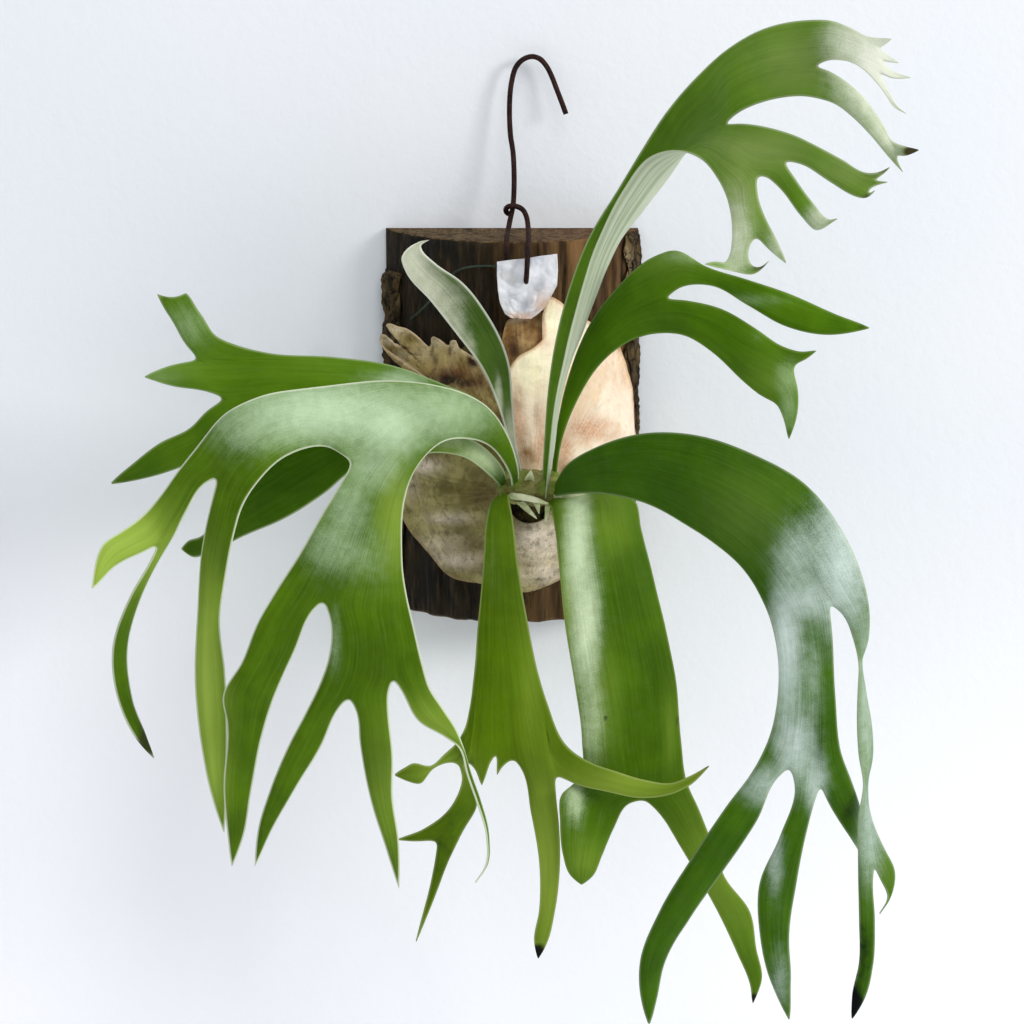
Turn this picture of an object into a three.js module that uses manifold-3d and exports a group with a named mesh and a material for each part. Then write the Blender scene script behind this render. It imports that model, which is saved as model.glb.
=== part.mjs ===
// A staghorn fern mounted on a half-round log slab that hangs on a wire hook.
// Millimetres, +Z up. The origin is the middle of the slab's flat back, which lies on the
// wall plane y = 0, and the front looks along -Y.
import * as THREE from 'three';
import { mergeVertices } from 'three/addons/utils/BufferGeometryUtils.js';
import Module from 'manifold-3d';

const wasm = await Module();
wasm.setup();

// Driving sizes
const log = { halfWidth: 68, bulge: 45, top: 103, bottom: -106, grooveDepth: 1.8, grooveCount: 11 };
const bark = { thickness: 5.5, roughness: 1.8, margin: 1, wander: 3 };
const leftStrip = { width: 17, belowTop: 22, steps: 22 };
const rightStrip = { width: 15, aboveBottom: 30, steps: 20 };
const mound = { arc: 8, up: -14, halfWidth: 63, halfHeight: 77, height: 24, ripple: 0.35, rim: 1.6 };
const moss = { rings: 7, spokes: 30, reach: 0.93, wave: 0.03, waves: 7 };
const crown = { across: 531, down: 488, forward: 80.6, halfWidth: 19, halfDepth: 10, halfHeight: 10 };
const sheets = { frond: 1.2, stalk: 2.4, stalkLength: 45, shield: 1.0, tag: 0.8 };
const wire = { diameter: 2.8, tieDiameter: 1.2, sides: 8, tieStep: 6, holeDepth: 10 };
const tag = { columns: 5, rows: 5, ripple: 1.4 };
const barkStep = { from: 46, to: 64 };   // arcs over which a shield climbs on to the bark
const gap = 0.3;          // clearance between pieces that touch
const holeGap = 0.6;      // clearance round a wire in its hole
const frondStep = 24;     // longest step along a frond, in the coarse solid
const rootDepth = 4;      // how far a frond's foot goes into the crown
const shootDepth = 5;     // how far a young shoot's foot goes into the crown

// Outlines are drawn on squared paper: squares across, squares down, then millimetres forward
// of the wall. The paper is seen from an eye in front of the mount and a little above it.
const paper = { square: 0.55, middle: 512, topEdge: 228 };
const eye = { distance: 2000, pitch: THREE.MathUtils.degToRad(14) };
const sight = new THREE.Vector3(0, Math.cos(eye.pitch), -Math.sin(eye.pitch));
const paperUp = new THREE.Vector3(0, Math.sin(eye.pitch), Math.cos(eye.pitch));
const rise = (paper.middle - paper.topEdge) * paper.square;
const aimHeight = log.top - rise * eye.distance
  / (eye.distance * Math.cos(eye.pitch) + rise * Math.sin(eye.pitch));
const eyePoint = new THREE.Vector3(0, 0, aimHeight).addScaledVector(sight, -eye.distance);

function at(across, down, forward) {
  const ray = sight.clone()
    .addScaledVector(paperUp, (paper.middle - down) * paper.square / eye.distance);
  ray.x += (across - paper.middle) * paper.square / eye.distance;
  return ray.multiplyScalar((-forward - eyePoint.y) / ray.y).add(eyePoint);
}

// ---------------------------------------------------------------- solids from sheets

// Gives a sheet of points and triangles a thickness, with a closed rim.
function thicken(points, triangles, thicknessAt) {
  const normals = points.map(() => new THREE.Vector3());
  const edges = new Map();
  for (const [a, b, c] of triangles) {
    const normal = new THREE.Vector3().subVectors(points[b], points[a])
      .cross(new THREE.Vector3().subVectors(points[c], points[a]));
    for (const corner of [a, b, c]) normals[corner].add(normal);
    for (const [from, to] of [[a, b], [b, c], [c, a]]) edges.set(`${from} ${to}`, [from, to]);
  }
  const count = points.length;
  const vertices = [];
  for (const side of [0.5, -0.5]) {
    points.forEach((point, index) => {
      const lift = side * thicknessAt(index);
      vertices.push(point.clone().addScaledVector(normals[index].normalize(), lift));
    });
  }
  const faces = triangles.flatMap(([a, b, c]) => [[a, b, c], [c + count, b + count, a + count]]);
  for (const [from, to] of edges.values()) {
    if (!edges.has(`${to} ${from}`)) {
      faces.push([to, from, from + count], [to, from + count, to + count]);
    }
  }
  return solid(vertices, faces);
}

function solid(vertices, faces) {
  const geometry = new THREE.BufferGeometry();
  geometry.setAttribute('position',
    new THREE.Float32BufferAttribute(vertices.flatMap((v) => [v.x, v.y, v.z]), 3));
  geometry.setIndex(faces.flat());
  return geometry;
}

// Triangles between two rows of point numbers that may differ in count.
function bridge(lower, upper) {
  const faces = [];
  let i = 0;
  let j = 0;
  while (i < lower.length - 1 || j < upper.length - 1) {
    const nextLower = (i + 1) / (lower.length - 1);
    const nextUpper = (j + 1) / (upper.length - 1);
    if (j >= upper.length - 1 || (i < lower.length - 1 && nextLower <= nextUpper)) {
      faces.push([lower[i], lower[i + 1], upper[j]]);
      i += 1;
    } else {
      faces.push([lower[i], upper[j + 1], upper[j]]);
      j += 1;
    }
  }
  return faces;
}

const toManifold = (geometry) => {
  const bare = geometry.clone();
  bare.deleteAttribute('normal');
  bare.deleteAttribute('uv');
  const merged = mergeVertices(bare, 1e-4);
  return new wasm.Manifold(new wasm.Mesh({
    numProp: 3,
    vertProperties: new Float32Array(merged.attributes.position.array),
    triVerts: new Uint32Array(merged.index.array),
  }));
};

const fromManifold = (body) => {
  const { vertProperties, triVerts } = body.getMesh();
  const geometry = new THREE.BufferGeometry();
  geometry.setAttribute('position', new THREE.BufferAttribute(vertProperties, 3));
  geometry.setIndex(new THREE.BufferAttribute(triVerts, 1));
  return geometry;
};

const cut = (geometry, ...tools) => fromManifold(
  tools.reduce((body, tool) => body.subtract(toManifold(tool)), toManifold(geometry)));

const join = (geometry, ...others) => fromManifold(
  others.reduce((body, other) => body.add(toManifold(other)), toManifold(geometry)));

// A round wire along a smooth path.
function tube(path, diameter, stepLength = 2.5 * diameter) {
  const curve = new THREE.CatmullRomCurve3(path, false, 'centripetal');
  const section = new THREE.Shape();
  section.absarc(0, 0, diameter / 2, 0, 2 * Math.PI);
  return new THREE.ExtrudeGeometry(section, {
    extrudePath: curve,
    steps: Math.ceil(curve.getLength() / stepLength),
    curveSegments: wire.sides,
    bevelEnabled: false,
  });
}

// ---------------------------------------------------------------- log, bark and moss

const logRadius = (log.halfWidth ** 2 + log.bulge ** 2) / (2 * log.bulge);
const logCentre = log.bulge - logRadius;
const logHalfArc = logRadius * Math.asin(log.halfWidth / logRadius);

// A place on the log's round front: arc along it from its middle, height, and lift off it.
function onLog(arc, up, lift) {
  const angle = arc / logRadius;
  return new THREE.Vector3((logRadius + lift) * Math.sin(angle),
    -(logCentre + (logRadius + lift) * Math.cos(angle)), up);
}

// Several waves summed, from -1 to 1, for rough surfaces.
const rough = (a, b) => (Math.sin(a * 0.31 + b * 0.11) + Math.sin(a * 0.17 - b * 0.23 + 2.1)
  + Math.sin(a * 0.47 + b * 0.41 + 4.2) * Math.sin(b * 0.35)) / 3;

function logSlab() {
  const sides = 36;
  const levels = 5;
  const points = [];
  for (let level = 0; level <= levels; level += 1) {
    const up = THREE.MathUtils.lerp(log.bottom, log.top, level / levels);
    for (let side = 0; side <= sides; side += 1) {
      const share = side / sides;
      const arc = logHalfArc * (2 * share - 1);
      const groove = Math.cos(2 * Math.PI * log.grooveCount * share + 0.6 * Math.sin(level));
      const fade = Math.min(1, 8 * share * (1 - share));
      points.push(onLog(arc, up, -log.grooveDepth * fade * (0.5 + 0.5 * groove)));
    }
  }
  const faces = [];
  const row = sides + 1;
  const lastRow = levels * row;
  for (let level = 0; level < levels; level += 1) {
    for (let side = 0; side < row; side += 1) {
      const a = level * row + side;
      const b = level * row + (side + 1) % row;
      faces.push([a, b, b + row], [a, b + row, a + row]);
    }
  }
  const outline = points.slice(0, row).map((p) => new THREE.Vector2(p.x, p.y));
  for (const [a, b, c] of THREE.ShapeUtils.triangulateShape(outline, [])) {
    faces.push([c, b, a], [a + lastRow, b + lastRow, c + lastRow]);
  }
  return cut(solid(points, faces), ...wireHoles());
}

// A patch on the log's front between two lifts, on a grid of arc and height.
function patch(across, high, inner, outer) {
  const points = [];
  for (const lift of [outer, inner]) {
    for (let j = 0; j <= high.steps; j += 1) {
      for (let i = 0; i <= across.steps; i += 1) {
        const up = THREE.MathUtils.lerp(high.from, high.to, j / high.steps);
        const arc = THREE.MathUtils.lerp(across.from(up), across.to(up), i / across.steps);
        points.push(onLog(arc, up, lift(arc, up)));
      }
    }
  }
  return gridSolid(points, across.steps + 1, high.steps + 1);
}

// Two stacked grids of points closed by a rim. The first grid is the outer face.
function gridSolid(points, columns, rows) {
  const count = columns * rows;
  const faces = [];
  for (let j = 0; j < rows - 1; j += 1) {
    for (let i = 0; i < columns - 1; i += 1) {
      const a = j * columns + i;
      const [b, c, d] = [a + 1, a + columns + 1, a + columns];
      faces.push([a, b, c], [a, c, d]);
      faces.push([c + count, b + count, a + count], [d + count, c + count, a + count]);
    }
  }
  const rim = [];
  for (let i = 0; i < columns - 1; i += 1) rim.push(i);
  for (let j = 0; j < rows - 1; j += 1) rim.push(j * columns + columns - 1);
  for (let i = columns - 1; i > 0; i -= 1) rim.push((rows - 1) * columns + i);
  for (let j = rows - 1; j > 0; j -= 1) rim.push(j * columns);
  rim.forEach((from, index) => {
    const to = rim[(index + 1) % rim.length];
    faces.push([to, from, from + count], [to, from + count, to + count]);
  });
  return solid(points, faces);
}

const barkOuter = (arc, up) => bark.thickness + bark.roughness * rough(arc * 2, up * 2);

const leftBark = () => patch({
  from: () => -logHalfArc + bark.margin,
  to: (up) => -logHalfArc + leftStrip.width + bark.wander * rough(up, 9),
  steps: 4,
}, {
  from: log.bottom + bark.margin,
  to: log.top - leftStrip.belowTop,
  steps: leftStrip.steps,
}, () => gap, barkOuter);

const rightBark = () => patch({
  from: (up) => logHalfArc - rightStrip.width + bark.wander * rough(up, 5),
  to: () => logHalfArc - bark.margin,
  steps: 4,
}, {
  from: log.bottom + rightStrip.aboveBottom,
  to: log.top - bark.margin,
  steps: rightStrip.steps,
}, () => gap, barkOuter);

// Height of the moss and root cushion over the log's front, zero past its edge.
function moundLift(arc, up) {
  const reach = ((arc - mound.arc) / mound.halfWidth) ** 2 + ((up - mound.up) / mound.halfHeight) ** 2;
  return mound.rim + mound.height * Math.max(0, 1 - reach) + mound.ripple * rough(arc, up);
}

function mossPad() {
  const { rings, spokes } = moss;
  const faces = [];
  const places = [[mound.arc, mound.up]];
  for (let ring = 1; ring <= rings; ring += 1) {
    for (let spoke = 0; spoke < spokes; spoke += 1) {
      const turn = 2 * Math.PI * spoke / spokes;
      const wave = ring === rings ? moss.wave * Math.sin(moss.waves * turn) : 0;
      const radius = moss.reach * (ring / rings) * (1 + wave);
      places.push([mound.arc + mound.halfWidth * radius * Math.cos(turn),
        mound.up + mound.halfHeight * radius * Math.sin(turn)]);
    }
  }
  const count = places.length;
  const points = [
    ...places.map(([arc, up]) => onLog(arc, up, moundLift(arc, up))),
    ...places.map(([arc, up]) => onLog(arc, up, 2 * gap)),
  ];
  const place = (ring, spoke) => 1 + (ring - 1) * spokes + spoke % spokes;
  const both = (a, b, c) => faces.push([a, b, c], [c + count, b + count, a + count]);
  for (let spoke = 0; spoke < spokes; spoke += 1) {
    both(0, place(1, spoke), place(1, spoke + 1));
    for (let ring = 1; ring < rings; ring += 1) {
      const [a, b] = [place(ring, spoke), place(ring, spoke + 1)];
      const [c, d] = [place(ring + 1, spoke), place(ring + 1, spoke + 1)];
      both(a, c, d);
      both(a, d, b);
    }
    const [from, to] = [place(rings, spoke), place(rings, spoke + 1)];
    faces.push([to, from, from + count], [to, from + count, to + count]);
  }
  return solid(points, faces);
}

// ---------------------------------------------------------------- shield fronds

// The place on the log, in arc and height, that is seen at a square of the paper, where the
// surface stands off the log's round front by liftAt(arc, up).
function seenOn(across, down, liftAt) {
  let forward = log.bulge;
  let [arc, up, lift] = [0, 0, 0];
  for (let turn = 0; turn < 60; turn += 1) {
    const point = at(across, down, forward);
    const lateral = THREE.MathUtils.clamp(point.x / (logRadius + lift), -0.97, 0.97);
    [arc, up] = [logRadius * Math.asin(lateral), point.z];
    lift = liftAt(arc, up);
    const seen = logCentre + (logRadius + lift) * Math.cos(arc / logRadius);
    forward = THREE.MathUtils.lerp(forward, seen, 0.4);
  }
  return [arc, up];
}

// A shield frond: a fan of ribs from its foot by the crown out to its edge, laid on the mound.
function shield({ edge, foot, lift, curl, rings = 8, overBark = 0 }) {
  const liftAt = (arc, up) => moundLift(arc, up) + lift
    + overBark * THREE.MathUtils.smoothstep(Math.abs(arc), barkStep.from, barkStep.to);
  const footPlace = seenOn(...foot.place, liftAt);
  const rim = edge.map(([across, down]) => seenOn(across, down, liftAt));
  const points = [];
  const faces = [];
  rim.forEach(([arc, up], rib) => {
    const span = Math.hypot(arc - footPlace[0], up - footPlace[1]);
    const start = foot.radius / span;
    for (let ring = 0; ring <= rings; ring += 1) {
      const share = THREE.MathUtils.lerp(start, 1, ring / rings);
      const a = THREE.MathUtils.lerp(footPlace[0], arc, share);
      const u = THREE.MathUtils.lerp(footPlace[1], up, share);
      const curled = curl * (0.7 + 0.3 * Math.sin(1.7 * rib)) * share ** 5;
      points.push(onLog(a, u, liftAt(a, u) + curled));
    }
  });
  const row = rings + 1;
  for (let rib = 0; rib < rim.length - 1; rib += 1) {
    for (let ring = 0; ring < rings; ring += 1) {
      const a = rib * row + ring;
      const b = a + row;
      faces.push([a, b + 1, a + 1], [a, b, b + 1]);
    }
  }
  return thicken(points, faces, () => sheets.shield);
}

// ---------------------------------------------------------------- fertile fronds

// One strip of a frond. A row is its two edge points and the height of its middle over the
// chord, as a share of the width. A strip ends at a tip, or at notches that part its kids.
function strip(rows, { notch = [], kids = [], tip = null, columns = 2 } = {}) {
  return { rows, notch, kids, tip, columns };
}

const edgePoints = ([a1, a2, a3, b1, b2, b3, cup]) => (
  { left: at(a1, a2, a3), right: at(b1, b2, b3), cup });

// Slope of a smooth line through three points whose spacing may differ.
function slope(before, here, after) {
  if (!before) return after.clone().sub(here);
  if (!after) return here.clone().sub(before);
  const back = here.distanceTo(before) || 1;
  const ahead = after.distanceTo(here) || 1;
  return here.clone().sub(before).multiplyScalar(ahead / back)
    .add(after.clone().sub(here).multiplyScalar(back / ahead))
    .divideScalar(back + ahead);
}

// A place between two points of a line, on a cubic that keeps the line's slope at both.
function between(line, index, share) {
  const [before, from, to, after] = [line[index - 1], line[index], line[index + 1], line[index + 2]];
  const length = to.distanceTo(from);
  const straight = to.clone().sub(from);
  const leaving = before ? slope(before, from, to).multiplyScalar(length) : straight;
  const arriving = after ? slope(from, to, after).multiplyScalar(length) : straight;
  const [square, cube] = [share ** 2, share ** 3];
  return from.clone().multiplyScalar(2 * cube - 3 * square + 1)
    .addScaledVector(leaving, cube - 2 * square + share)
    .addScaledVector(to, 3 * square - 2 * cube)
    .addScaledVector(arriving, cube - square);
}

// The points and triangles of a whole frond, grown strip by strip from its foot.
function growFrond(frond, { widen = 0, root = rootDepth } = {}) {
  const points = [];
  const faces = [];
  const sectionRow = ({ left, right, cup }, along, columns) => {
    const chord = right.clone().sub(left);
    const width = chord.length();
    const normal = along.clone().cross(chord).normalize();
    const first = points.length;
    for (let column = 0; column <= columns; column += 1) {
      const share = column / columns;
      const margin = widen * (2 * share - 1) / width;
      points.push(left.clone().addScaledVector(chord, share + margin)
        .addScaledVector(normal, 4 * share * (1 - share) * cup * width));
    }
    return Array.from({ length: columns + 1 }, (_, column) => first + column);
  };
  const growStrip = (part, startRow, start, before) => {
    const sections = part.rows.map(edgePoints);
    if (start) sections.unshift(start);
    if (!start) {
      const foot = sections[0];
      const along = middle(foot).sub(middle(sections[1])).setLength(root);
      foot.left.add(along);
      foot.right.add(along);
    }
    const lefts = sections.map((s) => s.left);
    const rights = sections.map((s) => s.right);
    const tip = part.tip && at(...part.tip);
    if (tip) [lefts, rights].forEach((line) => line.push(tip));
    if (before) {
      lefts.unshift(before.left ?? lefts[0].clone().multiplyScalar(2).sub(lefts[1]));
      rights.unshift(before.right ?? rights[0].clone().multiplyScalar(2).sub(rights[1]));
    }
    const shift = before ? 1 : 0;
    let row = startRow ?? sectionRow(sections[0], middle(sections[1]).sub(middle(sections[0])), part.columns);
    const spans = tip ? sections.length : sections.length - 1;
    for (let span = 0; span < spans; span += 1) {
      const last = tip && span === spans - 1;
      const end = last ? tip : middle(sections[span + 1]);
      const length = end.distanceTo(middle(sections[span]));
      const steps = Math.max(1, Math.round(length / frondStep));
      const nextCup = sections[span + 1]?.cup ?? sections[span].cup;
      for (let step = 1; step <= steps; step += 1) {
        const share = step / steps;
        if (last && step === steps) {
          points.push(tip);
          faces.push(...bridge(row, [points.length - 1]));
        } else if (part.kids.length && span === spans - 1 && step === steps) {
          const fork = sections[span + 1];
          const marks = [fork.left, ...part.notch.map((n) => at(...n)), fork.right];
          const forkRow = [];
          const starts = part.kids.map((kid, index) => {
            const kidRow = [];
            for (let column = 0; column <= kid.columns; column += 1) {
              if (index > 0 && column === 0) {
                kidRow.push(forkRow[forkRow.length - 1]);
              } else {
                points.push(marks[index].clone().lerp(marks[index + 1], column / kid.columns));
                kidRow.push(points.length - 1);
                forkRow.push(points.length - 1);
              }
            }
            return kidRow;
          });
          faces.push(...bridge(row, forkRow));
          part.kids.forEach((kid, index) => {
            growStrip(kid, starts[index], { left: marks[index], right: marks[index + 1], cup: 0 }, {
              left: index === 0 ? sections[span].left : null,
              right: index === part.kids.length - 1 ? sections[span].right : null,
            });
          });
        } else {
          const section = {
            left: between(lefts, span + shift, share),
            right: between(rights, span + shift, share),
            cup: THREE.MathUtils.lerp(sections[span].cup, nextCup, share),
          };
          const along = end.clone().sub(middle(sections[span]));
          const next = sectionRow(section, along, part.columns);
          faces.push(...bridge(row, next));
          row = next;
        }
      }
    }
  };
  growStrip(frond, null, null, null);
  return { points, faces };
}

const middle = ({ left, right }) => left.clone().lerp(right, 0.5);

function frondSolid(frond, { widen = 0, thicker = 0, root = rootDepth } = {}) {
  const { points, faces } = growFrond(frond, { widen, root });
  const foot = points[0];
  const thicknessAt = (index) => {
    const fade = Math.max(0, 1 - points[index].distanceTo(foot) / sheets.stalkLength);
    return THREE.MathUtils.lerp(sheets.frond, sheets.stalk, fade ** 2) + thicker;
  };
  return thicken(points, faces, thicknessAt);
}

// The hollow that a frond's foot leaves in the crown.
const socket = (frond) => frondSolid(
  { ...frond, rows: frond.rows.slice(0, 3), notch: [], kids: [], tip: null },
  { widen: 2 * gap, thicker: 4 * gap, root: rootDepth + 2 * gap });

// ---------------------------------------------------------------- crown, wires and tag

function crownSolid() {
  const centre = at(crown.across, crown.down, crown.forward);
  const ball = new THREE.IcosahedronGeometry(1, 5);
  ball.scale(crown.halfWidth, crown.halfDepth, crown.halfHeight);
  ball.translate(...centre);
  const shoots = youngShoots.map((shoot) => frondSolid(shoot, { root: shootDepth }));
  return cut(join(ball, ...shoots), ...Object.values(fronds).map(socket));
}

const wirePoints = (rows) => rows.map((row) => at(...row));

function hookWire() {
  const hook = tube(wirePoints(hookRoute), wire.diameter);
  const leg = tube(wirePoints(rightLegRoute), wire.diameter);
  return join(hook, leg);
}

// The blind holes that the two legs end in, along Y from the log's front.
function wireHoles() {
  return [hookRoute, rightLegRoute].map((route) => {
    const end = at(...route[route.length - 1]);
    const radius = wire.diameter / 2 + holeGap;
    const hole = new THREE.CylinderGeometry(radius, radius, 2 * wire.holeDepth, 12);
    hole.translate(end.x, end.y + gap - wire.holeDepth, end.z);
    return hole;
  });
}

function tagSheet() {
  const points = [];
  const { columns, rows } = tag;
  for (let j = 0; j <= rows; j += 1) {
    for (let i = 0; i <= columns; i += 1) {
      const down = j / rows;
      const [left, right] = [tagEdges.left, tagEdges.right].map((edge) => {
        const spot = down * (edge.length - 1);
        const index = Math.min(Math.floor(spot), edge.length - 2);
        const share = spot - index;
        return edge[index].map((value, axis) => (
          THREE.MathUtils.lerp(value, edge[index + 1][axis], share)));
      });
      const place = left.map((value, axis) => THREE.MathUtils.lerp(value, right[axis], i / columns));
      place[2] += tag.ripple * Math.sin(2.3 * i + 1.9 * j) * Math.sin(Math.PI * i / columns);
      points.push(at(...place));
    }
  }
  const faces = [];
  for (let j = 0; j < rows; j += 1) {
    for (let i = 0; i < columns; i += 1) {
      const a = j * (columns + 1) + i;
      const d = a + columns + 1;
      faces.push([a, d, d + 1], [a, d + 1, a + 1]);
    }
  }
  const pierced = tube(wirePoints(rightLegRoute), wire.diameter + 2 * holeGap);
  return cut(thicken(points, faces, () => sheets.tag), pierced);
}

const tieWire = () => tube(tieRoute.map(([arc, up]) => onLog(arc, up, wire.tieDiameter / 2 + gap)),
  wire.tieDiameter, wire.tieStep);

// ---------------------------------------------------------------- outlines on the paper

const foot = { place: [crown.across, crown.down], radius: 14 };

const shields = {
  shield_frond_left_dry: {
    lift: 1.5, curl: 3, overBark: 6, foot, edge: [
      [446, 392], [433, 380], [413, 367], [400, 358], [388, 348], [380, 343], [380, 335], [392, 338],
      [400, 343], [396, 333], [390, 323], [400, 327], [412, 329], [421, 336], [430, 345], [434, 336],
      [442, 338], [448, 345], [456, 339], [466, 350], [478, 361], [489, 377], [498, 398],
    ],
  },
  shield_frond_upper: {
    lift: 1.5, curl: 1, foot, edge: [
      [503, 385], [502, 360], [503, 335], [508, 320], [520, 314], [534, 312], [545, 314], [550, 330],
      [549, 360],
    ],
  },
  shield_frond_lower: {
    lift: 3.4, curl: 1.5, foot, edge: [
      [505, 425], [488, 408], [465, 410], [440, 423], [418, 442], [403, 465], [399, 490], [402, 510],
      [409, 526], [420, 541], [434, 559], [447, 573], [460, 579], [478, 582], [500, 588], [523, 591],
      [541, 587], [560, 579], [580, 569], [600, 553], [615, 533], [622, 515],
    ],
  },
  shield_frond_right: {
    lift: 5.3, curl: 1, foot, edge: [
      [576, 524], [596, 524], [615, 515], [630, 498], [639, 475], [642, 450], [640, 430], [637, 410],
      [635, 392], [631, 372], [626, 355], [619, 342], [606, 332], [590, 322], [572, 312], [558, 300],
      [549, 297], [544, 312], [542, 335], [530, 345], [518, 353], [511, 365], [506, 390], [504, 420],
      [504, 445],
    ],
  },
};

// Each row of these wires is a place on the paper and its distance forward.
const hookRoute = [
  [566, 114, 10], [562, 103, 9], [557, 90, 8], [552, 77, 7], [547, 67, 6.5], [540, 59, 6],
  [532, 56.5, 6], [523, 59.5, 6], [516, 67, 6.5], [512, 80, 7], [510, 95, 8], [509.5, 115, 9],
  [510.5, 135, 11], [513, 152, 13], [514, 170, 15], [514, 190, 18], [513, 206, 20.5],
  [510.5, 218, 23], [508.5, 228, 29], [507.3, 234, 37], [506.8, 239, 45.5], [506.5, 250, 50.2],
  [507, 262, 50.6], [507.5, 270, 51], [508, 276.4, 49], [508, 276.2, 45], [508, 273, 38],
];
const rightLegRoute = [
  [511, 214, 21], [507, 213, 19], [506, 209, 21.5], [510, 206, 25], [517, 206.5, 25],
  [523, 210, 24], [526.5, 217, 25], [528, 226, 29], [528.5, 233, 38], [528.5, 239, 46],
  [528, 247, 54], [527.5, 257, 59.5], [527, 268, 61.5], [526.5, 276.5, 61], [526, 282, 57],
  [526, 281.8, 52], [526, 278.6, 46], [526, 275, 38],
];
const tieRoute = [
  [518, 270], [506, 267], [497, 266.5], [484, 266], [470, 267], [457, 271], [443, 284], [430, 301],
  [420, 311], [411, 319],
].map(([across, down]) => seenOn(across, down, () => gap + wire.tieDiameter / 2));

const tagEdges = {
  left: [
    [497, 262, 57], [497, 276, 57], [498, 291, 57], [500, 303, 57], [505, 314, 56.5], [511, 318, 56],
  ],
  right: [
    [557, 254, 57.5], [558, 270, 57.5], [557, 285, 57.5], [551, 297, 57], [543, 310, 56.5],
    [531, 319, 56],
  ],
};

const youngShoots = [
  strip([[530, 485, 85, 536, 485, 85, 0.3], [529, 478, 91, 538, 478, 91, 0.3]], { tip: [534, 471, 93] }),
  strip([[520, 496, 86, 516, 499, 86, 0.2], [530, 507, 89, 524, 509, 89, 0.2]], { tip: [537, 517, 89] }),
  strip([[534, 496, 87, 529, 497, 87, 0.2], [540, 505, 91, 535, 506, 91, 0.2]], { tip: [541, 514, 91] }),
];

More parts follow.
